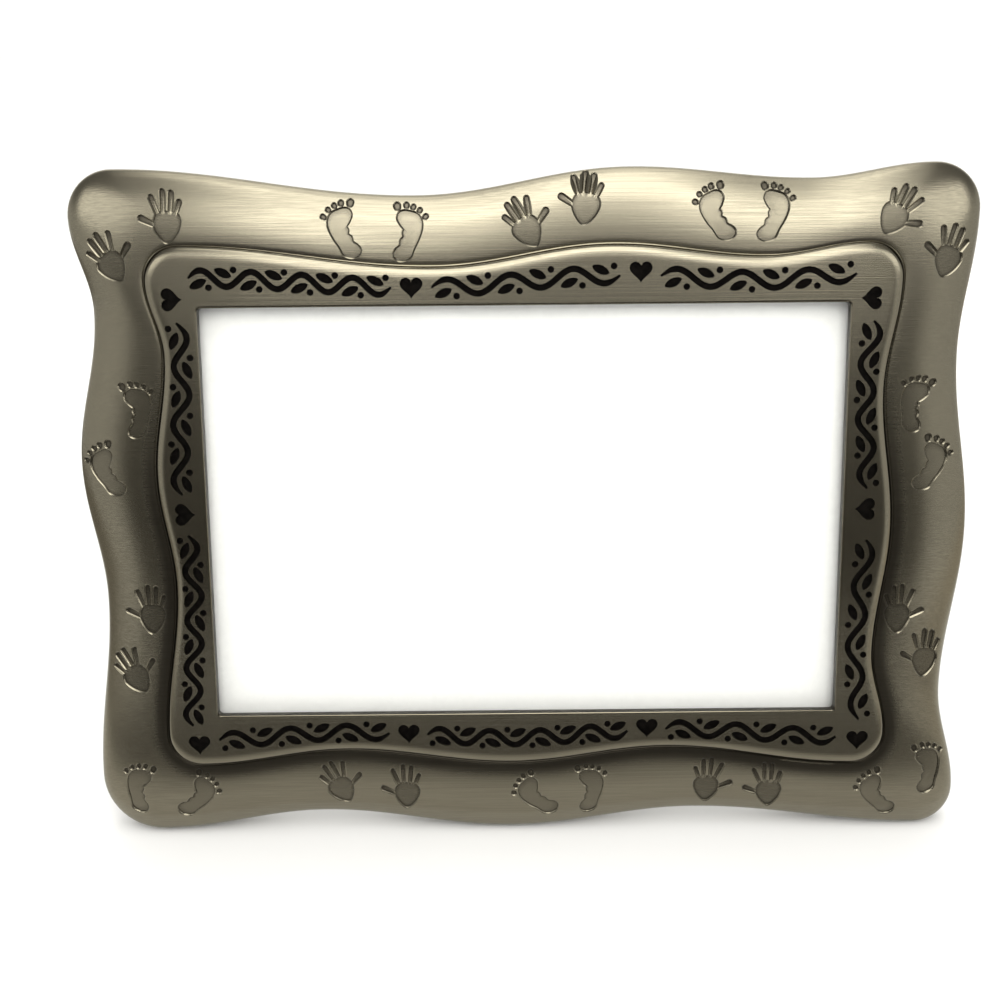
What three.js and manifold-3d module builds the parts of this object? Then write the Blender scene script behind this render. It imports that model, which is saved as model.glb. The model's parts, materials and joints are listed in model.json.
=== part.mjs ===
// A baby photo frame for one landscape photo.
// One casting carries a wavy, rounded border and a raised liner round a rectangular opening. Glass, a
// blank card and a velvet backed board sit in a pocket behind the liner, held by turn buttons, and a
// hinged leg stands the frame up.
//
// Millimetres. The frame is drawn upright and seen from its front: X to the right, Y to the back, Z up,
// with the middle of the opening at the origin and the liner's face at Y = 0. The whole group then leans
// back on its open leg, with the ground at Z = 0.

import * as THREE from 'three';
import { mergeVertices } from 'three/addons/utils/BufferGeometryUtils.js';
import { ParametricGeometry } from 'three/addons/geometries/ParametricGeometry.js';
import Module from 'manifold-3d';

const wasm = await Module();
wasm.setup();

// Photo, glass and card
const PHOTO_WIDTH = 152.4;
const PHOTO_HEIGHT = 101.6;
const PHOTO_LAP = 3.175;
const GLASS_THICKNESS = 2;
const CARD_THICKNESS = 0.4;

// Clearances: round the glass in its pocket, between faces that lie on each other, and round pins
const POCKET_CLEARANCE = 0.8;
const SEAT_GAP = 0.2;
const PIN_CLEARANCE = 0.2;

// Casting: walls and the border's section, measured back from the liner's face and out from its rim
const LINER_THICKNESS = 2.2;
const SHELL_WALL = 2.2;
const VALLEY_DEPTH = 1.3;
const CREST_DEPTH = 1.1;
const CREST_OFFSET = 2;
const EDGE_DROP = 4.1;
const SHELL_LAP = 2;
const LINER_CREST = 12;
const LINER_TROUGH = 8.3;
const BORDER_WIDTH = 17.8;
const POCKET_WALL = 1.8;
const RIM_CORNER_RADIUS = 7.5;
const EDGE_CORNER_RADIUS = 10.3;
const REAR_COVER = 0.3;
const FOOT_CUT = 0.5;

// Back panel
const BOARD_THICKNESS = 2.5;
const VELVET_THICKNESS = 0.6;
const POCKET_LAND = 0.1;

// Turn buttons and their screws
const BUTTON_SPREAD = 42;
const BUTTON_WIDTH = 7;
const BUTTON_THICKNESS = 0.8;
const BUTTON_LAP = 4.3;
const SCREW_RADIUS = 1.1;
const SCREW_LENGTH = 4;
const SCREW_HEAD_RADIUS = 2.8;
const SCREW_HEAD_HEIGHT = 1.4;
const SCREW_EDGE = 0.6;
const BOSS_RADIUS = 2.9;
const BOSS_OFFSET = 1.4;
const BOSS_FRONT = 2;

// Easel hinge and leg
const LEAN = THREE.MathUtils.degToRad(13);
const LEG_OPEN = THREE.MathUtils.degToRad(27);
const HINGE_HEIGHT = 28;
const HINGE_SHEET = 0.8;
const HINGE_PLATE_WIDTH = 24;
const HINGE_PLATE_RISE = 15;
const EAR_SPREAD = 6;
const EAR_THICKNESS = 1;
const EAR_RADIUS = 2.4;
const PIN_RADIUS = 1;
const PIN_STICK_OUT = 0.6;
const BARREL_WALL = 0.7;
const LEAF_WIDTH = 9;
const LEAF_LENGTH = 19;
const TAIL_WIDTH = 6;
const TAIL_LENGTH = 6.5;
const RIVET_RADIUS = 1;
const RIVET_HEAD_RADIUS = 1.8;
const RIVET_HEAD_HEIGHT = 0.6;
const BASE_RIVET_SPREAD = 8;
const BASE_RIVET_RISE = 9;
const LEAF_RIVET_FIRST = 9;
const LEAF_RIVET_STEP = 6;
const LEG_TOP_GAP = 0.9;
const LEG_TOP_WIDTH = 26;
const LEG_FOOT_WIDTH = 40;
const LEG_CORNER = 5;

// How finely curves are cut
const WAVE_STEPS = 6;
const CORNER_STEPS = 5;
const SLOPE_STEPS = 2;
const ROLL_STEPS = 8;
const ROUND_STEPS = 16;

// Sizes that follow
const OPENING_WIDTH = PHOTO_WIDTH - 2 * PHOTO_LAP;
const OPENING_HEIGHT = PHOTO_HEIGHT - 2 * PHOTO_LAP;
const POCKET_WIDTH = PHOTO_WIDTH + 2 * POCKET_CLEARANCE;
const POCKET_HEIGHT = PHOTO_HEIGHT + 2 * POCKET_CLEARANCE;
const VELVET_WRAP = SEAT_GAP + VELVET_THICKNESS;

// The stack behind the liner, front to back
const GLASS_FRONT = LINER_THICKNESS + SEAT_GAP;
const GLASS_BACK = GLASS_FRONT + GLASS_THICKNESS;
const CARD_FRONT = GLASS_BACK + SEAT_GAP;
const CARD_BACK = CARD_FRONT + CARD_THICKNESS;
const BOARD_FRONT = CARD_BACK + SEAT_GAP;
const BOARD_BACK = BOARD_FRONT + BOARD_THICKNESS;
const VELVET_FRONT = BOARD_BACK + SEAT_GAP;
const VELVET_BACK = VELVET_FRONT + VELVET_THICKNESS;
const POCKET_BACK = VELVET_BACK + POCKET_LAND;
const BUTTON_FRONT = POCKET_BACK + SEAT_GAP;
const BUTTON_BACK = BUTTON_FRONT + BUTTON_THICKNESS;
const HEAD_FRONT = BUTTON_BACK + SEAT_GAP;
const CASTING_BACK = HEAD_FRONT + SCREW_HEAD_HEIGHT + REAR_COVER;
const PLATE_FRONT = VELVET_BACK + SEAT_GAP;
const PLATE_BACK = PLATE_FRONT + HINGE_SHEET;

// The hinge's own sizes, from its pin outwards
const BORE_RADIUS = PIN_RADIUS + PIN_CLEARANCE;
const BARREL_RADIUS = BORE_RADIUS + BARREL_WALL;
const PIN_DEPTH = PLATE_BACK + SEAT_GAP + BARREL_RADIUS;
const LEAF_INNER = -BARREL_RADIUS;
const LEAF_OUTER = LEAF_INNER + HINGE_SHEET;
const LEG_INNER = LEAF_OUTER + SEAT_GAP;
const LEG_OUTER = LEG_INNER + BOARD_THICKNESS;
const LEG_TOP = EAR_RADIUS + LEG_TOP_GAP;

// The border's waves. Each side runs clockwise from corner to corner, through a crest, a trough, a crest, a
// trough and a crest. Each has its place, from -1 to 1 along the side, and the small amounts by which the
// liner and the border are wider there than usual. So has the edge's corner at the side's far end.
const SIDES = [
  {
    along: new THREE.Vector2(1, 0),
    out: new THREE.Vector2(0, 1),
    half: OPENING_HEIGHT / 2,
    places: [-1, -0.26, 0.26, 0.7, 1],
    linerExtra: [1.3, -0.1, 0.8, 1.7, 0.8],
    borderExtra: [-0.3, -1.5, -0.3, -0.3, 0.1],
    cornerExtra: 0,
  },
  {
    along: new THREE.Vector2(0, -1),
    out: new THREE.Vector2(1, 0),
    half: OPENING_WIDTH / 2,
    places: [-1, -0.525, 0.065, 0.63, 1],
    linerExtra: [-0.5, 0, -0.7, 0, -0.2],
    borderExtra: [0.2, 0, 1.1, 0.1, 1],
    cornerExtra: -1.3,
  },
  {
    along: new THREE.Vector2(-1, 0),
    out: new THREE.Vector2(0, -1),
    half: OPENING_HEIGHT / 2,
    places: [-1, -0.43, 0.045, 0.55, 1],
    linerExtra: [1.1, 0.3, 0.2, 0.4, 0.2],
    borderExtra: [-0.5, -0.4, 0.4, -0.5, 0.4],
    cornerExtra: 3.7,
  },
  {
    along: new THREE.Vector2(0, 1),
    out: new THREE.Vector2(-1, 0),
    half: OPENING_WIDTH / 2,
    places: [-1, -0.31, 0.18, 0.69, 1],
    linerExtra: [-0.2, -0.3, -1, -0.4, -0.7],
    borderExtra: [0.2, -0.1, 0.9, -1.2, -0.1],
    cornerExtra: 0,
  },
];
const BOTTOM = SIDES[2];

// How far a crest or trough lies from the middle of the opening: the liner's rim, or the border's edge
function reachOf(side, index, withBorder) {
  const usual = index % 2 === 0 ? LINER_CREST : LINER_TROUGH;
  const rimReach = side.half + usual + side.linerExtra[index];
  return withBorder ? rimReach + BORDER_WIDTH + side.borderExtra[index] : rimReach;
}

// The closed outline of the rim or of the border: waves eased from crest to trough, and round corners
function wavyOutline(withBorder) {
  const points = [];
  const cornerOf = (side) => (withBorder ? EDGE_CORNER_RADIUS + side.cornerExtra : RIM_CORNER_RADIUS);
  const place = (side, along, reach) => {
    const point = side.along.clone().multiplyScalar(along);
    points.push(point.addScaledVector(side.out, reach));
  };
  SIDES.forEach((side, index) => {
    const previous = SIDES[(index + SIDES.length - 1) % SIDES.length];
    const next = SIDES[(index + 1) % SIDES.length];
    const last = side.places.length - 1;
    const corner = cornerOf(side);
    const start = reachOf(previous, last, withBorder) - cornerOf(previous);
    const end = reachOf(next, 0, withBorder) - corner;
    const alongAt = (i) => side.places[i] * (side.places[i] < 0 ? start : end);
    for (let i = 0; i < last; i += 1) {
      const from = reachOf(side, i, withBorder);
      const to = reachOf(side, i + 1, withBorder);
      for (let step = 0; step < WAVE_STEPS; step += 1) {
        const share = step / WAVE_STEPS;
        const ease = (1 - Math.cos(Math.PI * share)) / 2;
        const along = THREE.MathUtils.lerp(alongAt(i), alongAt(i + 1), share);
        place(side, along, THREE.MathUtils.lerp(from, to, ease));
      }
    }
    const centre = reachOf(side, last, withBorder) - corner;
    for (let step = 0; step < CORNER_STEPS; step += 1) {
      const turn = (Math.PI / 2) * (step / CORNER_STEPS);
      place(side, end + corner * Math.sin(turn), centre + corner * Math.cos(turn));
    }
  });
  return points;
}

// A closed geometry as a solid for joining and cutting, and back again
function toSolid(geometry) {
  const bare = geometry.clone();
  bare.deleteAttribute('normal');
  bare.deleteAttribute('uv');
  const merged = mergeVertices(bare);
  return new wasm.Manifold(
    new wasm.Mesh({
      numProp: 3,
      vertProperties: new Float32Array(merged.attributes.position.array),
      triVerts: new Uint32Array(merged.index.array),
    }),
  );
}

function toGeometry(solid) {
  const mesh = solid.getMesh();
  const geometry = new THREE.BufferGeometry();
  geometry.setAttribute('position', new THREE.BufferAttribute(mesh.vertProperties, 3));
  geometry.setIndex(new THREE.BufferAttribute(mesh.triVerts, 1));
  geometry.computeVertexNormals();
  return geometry;
}

const joined = (...geometries) => geometries.map(toSolid).reduce((a, b) => a.add(b));
const cutBy = (solid, ...geometries) => geometries.map(toSolid).reduce((a, b) => a.subtract(b), solid);

// A plate drawn in the frame's X and Z, from one depth to another
function plate(shape, front, back) {
  const geometry = new THREE.ExtrudeGeometry(shape, {
    depth: back - front,
    bevelEnabled: false,
    curveSegments: ROUND_STEPS / 2,
  });
  return geometry.rotateX(Math.PI / 2).translate(0, back, 0);
}

function rectangle(width, low, high) {
  const shape = new THREE.Shape();
  shape.moveTo(-width / 2, low);
  shape.lineTo(width / 2, low);
  shape.lineTo(width / 2, high);
  shape.lineTo(-width / 2, high);
  shape.closePath();
  return shape;
}

const centredRectangle = (width, height) => rectangle(width, -height / 2, height / 2);

// A round bar along Y or along X
function barY(radius, front, back, x, z) {
  const geometry = new THREE.CylinderGeometry(radius, radius, back - front, ROUND_STEPS);
  return geometry.translate(x, (front + back) / 2, z);
}

function barX(radius, left, right) {
  const geometry = new THREE.CylinderGeometry(radius, radius, right - left, ROUND_STEPS);
  return geometry.rotateZ(Math.PI / 2).translate((left + right) / 2, 0, 0);
}

// A headed fastener along Y: its head stands behind Y = 0, or in front of it where facing is -1
function fastener(radius, length, headRadius, headHeight, edge, facing) {
  const profile = [
    new THREE.Vector2(0, -length),
    new THREE.Vector2(radius, -length),
    new THREE.Vector2(radius, 0),
    new THREE.Vector2(headRadius, 0),
    new THREE.Vector2(headRadius, headHeight - edge),
    new THREE.Vector2(headRadius - edge, headHeight),
    new THREE.Vector2(0, headHeight),
  ];
  const geometry = new THREE.LatheGeometry(profile, ROUND_STEPS);
  return facing < 0 ? geometry.rotateX(Math.PI) : geometry;
}

// Finishes
function finish(color, roughness, metalness) {
  return new THREE.MeshStandardMaterial({ color, roughness, metalness });
}
const pewter = finish(0x7b7466, 0.38, 1);
const clearGlass = new THREE.MeshStandardMaterial({
  color: 0xf4f7f6,
  roughness: 0.03,
  metalness: 0,
  transparent: true,
  opacity: 0.25,
});
const whiteCard = finish(0xf3f2ee, 0.8, 0);
const hardboard = finish(0x4a3626, 0.85, 0);
const blackVelvet = finish(0x151415, 0.95, 0);
const platedSteel = finish(0xb9b6ab, 0.3, 1);
const zincScrew = finish(0xc3c1b8, 0.25, 1);
const brassRivet = finish(0xa8905a, 0.35, 1);

// The groups: the leaning frame, and the leg that turns about the hinge pin
const photoFrame = new THREE.Group();
const leaning = new THREE.Group();
const leg = new THREE.Group();
photoFrame.add(leaning);
leaning.add(leg);

const lowest = Math.max(...BOTTOM.places.map((place, index) => reachOf(BOTTOM, index, true)));
leaning.rotation.x = -LEAN;
leaning.position.z = lowest * Math.cos(LEAN) + CASTING_BACK * Math.sin(LEAN) - FOOT_CUT;
leg.position.set(0, PIN_DEPTH, HINGE_HEIGHT);
leg.rotation.x = LEG_OPEN;
photoFrame.updateMatrixWorld(true);

// The ground below Z = 0, as a block in a group's own space, to trim what stands on it
function groundIn(group) {
  const size = 4 * PHOTO_WIDTH;
  const block = new THREE.BoxGeometry(size, size, size).translate(0, 0, -size / 2);
  return block.applyMatrix4(group.matrixWorld.clone().invert());
}

function addPiece(group, name, solid, material) {
  const mesh = new THREE.Mesh(toGeometry(solid), material);
  mesh.name = name;
  group.add(mesh);
}

// The casting's border: a shell that rises from the crease to a crest and rolls over to the edge
const rim = wavyOutline(false);
const edge = wavyOutline(true);

function borderSection(width) {
  const section = [[-SHELL_LAP, VALLEY_DEPTH]];
  for (let step = 0; step < SLOPE_STEPS; step += 1) {
    const share = step / SLOPE_STEPS;
    const dip = 1 - Math.sin((Math.PI / 2) * share);
    section.push([CREST_OFFSET * share, CREST_DEPTH + (VALLEY_DEPTH - CREST_DEPTH) * dip]);
  }
  const roll = (reach, depth, steps) => {
    const points = [];
    for (let step = 0; step <= steps; step += 1) {
      const turn = (Math.PI / 2) * (step / steps);
      const out = CREST_OFFSET + (reach - CREST_OFFSET) * Math.sin(turn);
      points.push([out, depth + EDGE_DROP * (1 - Math.cos(turn))]);
    }
    return points;
  };
  section.push(...roll(width, CREST_DEPTH, ROLL_STEPS));
  section.push([width, CASTING_BACK], [width - SHELL_WALL, CASTING_BACK]);
  section.push(...roll(width - SHELL_WALL, CREST_DEPTH + SHELL_WALL, ROLL_STEPS / 2).reverse());
  section.push([0, VALLEY_DEPTH + SHELL_WALL], [-SHELL_LAP, VALLEY_DEPTH + SHELL_WALL]);
  return section;
}

const sectionLength = borderSection(BORDER_WIDTH).length;

function borderPoint(u, v, target) {
  const around = Math.round(u * rim.length) % rim.length;
  const across = Math.round(v * sectionLength) % sectionLength;
  const outward = edge[around].clone().sub(rim[around]);
  const width = outward.length();
  const [out, depth] = borderSection(width)[across];
  const point = rim[around].clone().addScaledVector(outward, out / width);
  target.set(point.x, depth, point.y);
}

const border = new ParametricGeometry(borderPoint, rim.length, sectionLength);

const linerShape = new THREE.Shape(rim);
linerShape.holes.push(centredRectangle(OPENING_WIDTH, OPENING_HEIGHT));
const liner = plate(linerShape, 0, LINER_THICKNESS);

const pocketShape = centredRectangle(POCKET_WIDTH + 2 * POCKET_WALL, POCKET_HEIGHT + 2 * POCKET_WALL);
pocketShape.holes.push(centredRectangle(POCKET_WIDTH, POCKET_HEIGHT));
const pocketWall = plate(pocketShape, LINER_THICKNESS / 2, POCKET_BACK);

const bossHeight = POCKET_HEIGHT / 2 + POCKET_WALL + BOSS_OFFSET;
const buttonPlaces = [
  { name: 'top_left', x: -BUTTON_SPREAD, up: 1 },
  { name: 'top_right', x: BUTTON_SPREAD, up: 1 },
  { name: 'bottom_left', x: -BUTTON_SPREAD, up: -1 },
  { name: 'bottom_right', x: BUTTON_SPREAD, up: -1 },
];
const screwHole = SCREW_RADIUS + PIN_CLEARANCE;
const screwTip = BUTTON_FRONT - SCREW_LENGTH;
const bosses = buttonPlaces.map(({ x, up }) => {
  return barY(BOSS_RADIUS, BOSS_FRONT, POCKET_BACK, x, up * bossHeight);
});
const screwHoles = buttonPlaces.map(({ x, up }) => {
  return barY(screwHole, screwTip - SEAT_GAP, CASTING_BACK, x, up * bossHeight);
});
const casting = cutBy(joined(border, liner, pocketWall, ...bosses), ...screwHoles, groundIn(leaning));
addPiece(leaning, 'frame_casting', casting, pewter);

// What lies in the pocket: glass, card, board and the velvet round the board
const flat = centredRectangle(PHOTO_WIDTH, PHOTO_HEIGHT);
addPiece(leaning, 'glass_pane', joined(plate(flat, GLASS_FRONT, GLASS_BACK)), clearGlass);
addPiece(leaning, 'photo_insert', joined(plate(flat, CARD_FRONT, CARD_BACK)), whiteCard);

const rivetHole = RIVET_RADIUS + PIN_CLEARANCE;
const baseRivets = [
  { name: 'left', x: -BASE_RIVET_SPREAD },
  { name: 'right', x: BASE_RIVET_SPREAD },
];
const baseRivetHeight = HINGE_HEIGHT + BASE_RIVET_RISE;
const baseHoles = baseRivets.map(({ x }) => barY(rivetHole, 0, PIN_DEPTH, x, baseRivetHeight));
const boardShape = centredRectangle(PHOTO_WIDTH - 2 * VELVET_WRAP, PHOTO_HEIGHT - 2 * VELVET_WRAP);
const board = joined(plate(boardShape, BOARD_FRONT, BOARD_BACK));
addPiece(leaning, 'backing_board', cutBy(board, ...baseHoles), hardboard);

const trayInside = centredRectangle(
  PHOTO_WIDTH - 2 * VELVET_THICKNESS,
  PHOTO_HEIGHT - 2 * VELVET_THICKNESS,
);
const tray = joined(plate(flat, BOARD_FRONT, VELVET_BACK));
const velvet = cutBy(tray, plate(trayInside, 0, VELVET_FRONT), ...baseHoles);
addPiece(leaning, 'backing_velvet', velvet, blackVelvet);

// Turn buttons: a tongue with round ends, from past its screw to its lap over the velvet
const tongueReach = bossHeight - PHOTO_HEIGHT / 2 + BUTTON_LAP;
const tongueShape = new THREE.Shape();
const tongueHalf = BUTTON_WIDTH / 2;
tongueShape.moveTo(tongueHalf, 0);
tongueShape.absarc(0, 0, tongueHalf, 0, Math.PI, false);
tongueShape.absarc(0, tongueHalf - tongueReach, tongueHalf, Math.PI, 2 * Math.PI, false);
tongueShape.closePath();

for (const { name, x, up } of buttonPlaces) {
  const tongue = plate(tongueShape, BUTTON_FRONT, BUTTON_BACK);
  if (up < 0) tongue.rotateY(Math.PI);
  const drilled = cutBy(
    joined(tongue.translate(x, 0, up * bossHeight)),
    barY(screwHole, 0, CASTING_BACK, x, up * bossHeight),
  );
  addPiece(leaning, `turn_button_${name}`, drilled, platedSteel);
  const shank = HEAD_FRONT - screwTip;
  const screw = fastener(SCREW_RADIUS, shank, SCREW_HEAD_RADIUS, SCREW_HEAD_HEIGHT, SCREW_EDGE, 1);
  addPiece(leaning, `turn_screw_${name}`, joined(screw.translate(x, HEAD_FRONT, up * bossHeight)), zincScrew);
}

// Hinge plate on the board, with two ears for the pin
const earShape = new THREE.Shape();
earShape.moveTo(PLATE_FRONT - PIN_DEPTH + HINGE_SHEET / 2, -EAR_RADIUS);
earShape.lineTo(0, -EAR_RADIUS);
earShape.absarc(0, 0, EAR_RADIUS, -Math.PI / 2, Math.PI / 2, false);
earShape.lineTo(PLATE_FRONT - PIN_DEPTH + HINGE_SHEET / 2, EAR_RADIUS);
earShape.closePath();
const acrossX = new THREE.Matrix4().makeBasis(
  new THREE.Vector3(0, 1, 0),
  new THREE.Vector3(0, 0, 1),
  new THREE.Vector3(1, 0, 0),
);

function ear(x) {
  const geometry = new THREE.ExtrudeGeometry(earShape, {
    depth: EAR_THICKNESS,
    bevelEnabled: false,
    curveSegments: ROUND_STEPS / 2,
  });
  geometry.applyMatrix4(acrossX);
  return geometry.translate(x - EAR_THICKNESS / 2, PIN_DEPTH, HINGE_HEIGHT);
}

const plateShape = rectangle(HINGE_PLATE_WIDTH, HINGE_HEIGHT - EAR_RADIUS, HINGE_HEIGHT + HINGE_PLATE_RISE);
const hingePlate = joined(plate(plateShape, PLATE_FRONT, PLATE_BACK), ear(-EAR_SPREAD), ear(EAR_SPREAD));
const earReach = EAR_SPREAD + EAR_THICKNESS / 2;
const pinBore = barX(BORE_RADIUS, -2 * earReach, 2 * earReach).translate(0, PIN_DEPTH, HINGE_HEIGHT);
addPiece(leaning, 'hinge_base', cutBy(hingePlate, pinBore, ...baseHoles), platedSteel);

const pinReach = earReach + PIN_STICK_OUT;
const pin = barX(PIN_RADIUS, -pinReach, pinReach).translate(0, PIN_DEPTH, HINGE_HEIGHT);
addPiece(leaning, 'hinge_pin', joined(pin), zincScrew);

function rivet(length, facing) {
  return fastener(
    RIVET_RADIUS,
    length,
    RIVET_HEAD_RADIUS,
    RIVET_HEAD_HEIGHT,
    RIVET_HEAD_HEIGHT / 2,
    facing,
  );
}

for (const { name, x } of baseRivets) {
  const seat = PLATE_BACK + SEAT_GAP;
  const body = rivet(seat - BOARD_FRONT, 1).translate(x, seat, baseRivetHeight);
  addPiece(leaning, `hinge_base_rivet_${name}`, joined(body), brassRivet);
}

// The leg, drawn folded with the pin on its X axis: leaf, stop tail, board and velvet
const barrelHalf = EAR_SPREAD - EAR_THICKNESS / 2 - SEAT_GAP;
const barrel = barX(BARREL_RADIUS, -barrelHalf, barrelHalf);
const sheetLap = BORE_RADIUS;
const leafSheet = plate(rectangle(LEAF_WIDTH, -LEAF_LENGTH, -sheetLap / 2), LEAF_INNER, LEAF_OUTER);
const tail = plate(rectangle(TAIL_WIDTH, sheetLap / 2, TAIL_LENGTH), LEAF_INNER, LEAF_OUTER);
tail.rotateX(-LEG_OPEN);
const leafRivets = [
  { name: 'upper', z: -LEAF_RIVET_FIRST },
  { name: 'lower', z: -LEAF_RIVET_FIRST - LEAF_RIVET_STEP },
];
const leafHoles = leafRivets.map(({ z }) => barY(rivetHole, 2 * LEAF_INNER, LEG_OUTER + SEAT_GAP, 0, z));
const leafBore = barX(BORE_RADIUS, -2 * barrelHalf, 2 * barrelHalf);
const leaf = cutBy(joined(barrel, leafSheet, tail), leafBore, ...leafHoles);
addPiece(leg, 'hinge_leaf', leaf, platedSteel);

for (const { name, z } of leafRivets) {
  const seat = LEAF_INNER - SEAT_GAP;
  const body = rivet(LEG_OUTER - seat, -1).translate(0, seat, z);
  addPiece(leg, `hinge_leaf_rivet_${name}`, joined(body), brassRivet);
}

// The leg tapers, and runs past the ground so that its foot can be trimmed level. Spread widens it all along.
const legLength = lowest + HINGE_HEIGHT + CASTING_BACK;
const groundReach = new THREE.Vector3().setFromMatrixPosition(leg.matrixWorld).z / Math.cos(LEG_OPEN - LEAN);

function legShape(spread) {
  const topHalf = LEG_TOP_WIDTH / 2 + spread;
  const flare = (LEG_FOOT_WIDTH - LEG_TOP_WIDTH) / 2 / (groundReach - LEG_TOP);
  const footHalf = topHalf + flare * (legLength - LEG_TOP);
  const shape = new THREE.Shape();
  shape.moveTo(-footHalf, -legLength);
  shape.lineTo(footHalf, -legLength);
  shape.lineTo(topHalf, -LEG_TOP - LEG_CORNER);
  shape.quadraticCurveTo(topHalf, -LEG_TOP, topHalf - LEG_CORNER, -LEG_TOP);
  shape.lineTo(LEG_CORNER - topHalf, -LEG_TOP);
  shape.quadraticCurveTo(-topHalf, -LEG_TOP, -topHalf, -LEG_TOP - LEG_CORNER);
  shape.closePath();
  return shape;
}

const legPlate = joined(plate(legShape(0), LEG_INNER, LEG_OUTER));
addPiece(leg, 'leg_board', cutBy(legPlate, ...leafHoles, groundIn(leg)), hardboard);

const legSkin = joined(plate(legShape(VELVET_WRAP), LEG_INNER, LEG_OUTER + VELVET_WRAP));
const legRoom = plate(legShape(SEAT_GAP), 2 * LEAF_INNER, LEG_OUTER + SEAT_GAP);
addPiece(leg, 'leg_velvet', cutBy(legSkin, legRoom, groundIn(leg)), blackVelvet);

// The origin goes under the middle of the standing frame
const middle = new THREE.Box3().setFromObject(photoFrame, true).getCenter(new THREE.Vector3());
leaning.position.x -= middle.x;
leaning.position.y -= middle.y;
photoFrame.updateMatrixWorld(true);

export default photoFrame;
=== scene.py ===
# %% [markdown]
# # A baby photo frame
# The real thing is a heavy metal table frame. One casting makes the wavy border and the raised liner round
# the photo. It was brushed level from side to side, darkened with an antique wash, and wiped, so the hollows
# stay dark. Pairs of little hand and foot prints are pressed into the border, and hearts with a running vine
# between them are cut into the liner and filled with black enamel. Behind it are glass, a blank card, a
# velvet covered panel held by turn buttons, and a hinged leg.
#
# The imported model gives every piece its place. This lesson keeps that place and adds what solids lack.

import json
import math

import bmesh
import bpy
from mathutils import Matrix, Vector
from mathutils.bvhtree import BVHTree
from mathutils.kdtree import KDTree


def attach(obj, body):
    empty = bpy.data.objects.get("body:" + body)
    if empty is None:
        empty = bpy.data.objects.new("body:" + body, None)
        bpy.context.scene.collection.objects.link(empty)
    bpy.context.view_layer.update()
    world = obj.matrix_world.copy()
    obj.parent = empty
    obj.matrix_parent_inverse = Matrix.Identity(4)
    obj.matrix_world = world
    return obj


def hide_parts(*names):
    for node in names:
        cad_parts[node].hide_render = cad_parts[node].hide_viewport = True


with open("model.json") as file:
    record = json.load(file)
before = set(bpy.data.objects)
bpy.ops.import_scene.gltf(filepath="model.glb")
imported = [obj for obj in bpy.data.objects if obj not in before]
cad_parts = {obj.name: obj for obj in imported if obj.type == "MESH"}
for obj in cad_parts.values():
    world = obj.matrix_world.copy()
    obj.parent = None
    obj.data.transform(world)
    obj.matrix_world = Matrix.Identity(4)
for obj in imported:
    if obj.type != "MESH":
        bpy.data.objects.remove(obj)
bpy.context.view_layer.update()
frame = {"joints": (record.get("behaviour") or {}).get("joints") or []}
scene = bpy.context.scene

# %% [markdown]
# ## One drawing board for every piece
# The frame leans back on its leg, which makes it awkward to draw in place. So each piece is drawn upright in
# millimetres, with the middle of the opening at the origin, X to the right, Y to the back and Z up. One
# matrix then leans it and moves it to where the model has it. The leg has a matrix of its own, about the
# hinge pin, and the pin's place comes from the model's own joint.

# %% The leaning matrix and the leg's matrix
MM = 0.001
LEAN = math.radians(13)
LEG_OPEN = math.radians(27)
HINGE_HEIGHT = 28
PIN_DEPTH = 11.6

pin_place = Vector(frame["joints"][0]["pos_m"])
lean_turn = Matrix.Rotation(-LEAN, 4, "X")
pin_upright = Vector((0, PIN_DEPTH, HINGE_HEIGHT))
frame_place = pin_place - lean_turn @ (pin_upright * MM)
LEANING = Matrix.Translation(frame_place) @ lean_turn @ Matrix.Scale(MM, 4)
ON_LEG = LEANING @ Matrix.Translation(pin_upright) @ Matrix.Rotation(LEG_OPEN, 4, "X")
print("the opening's middle is at", [round(n, 5) for n in frame_place])

# %% [markdown]
# ## Writing a material as a sum
# Node trees are long to wire by hand. A small class holds one socket and turns plain arithmetic on it into
# Math nodes, so a roughness can be written as a sum. Every other kind of node comes from one method, which
# takes the node's type, its settings and what goes into its sockets.


# %% Wires and finishes
class Wire:
    """One output socket. Arithmetic on it adds Math nodes to its finish."""

    def __init__(self, finish, socket):
        self.finish = finish
        self.socket = socket

    def maths(self, operation, first, second):
        return self.finish.node("ShaderNodeMath", {"operation": operation}, {0: first, 1: second})

    def __add__(self, other):
        return self.maths("ADD", self, other)

    def __radd__(self, other):
        return self.maths("ADD", other, self)

    def __sub__(self, other):
        return self.maths("SUBTRACT", self, other)

    def __rsub__(self, other):
        return self.maths("SUBTRACT", other, self)

    def __mul__(self, other):
        return self.maths("MULTIPLY", self, other)

    def __rmul__(self, other):
        return self.maths("MULTIPLY", other, self)


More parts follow.
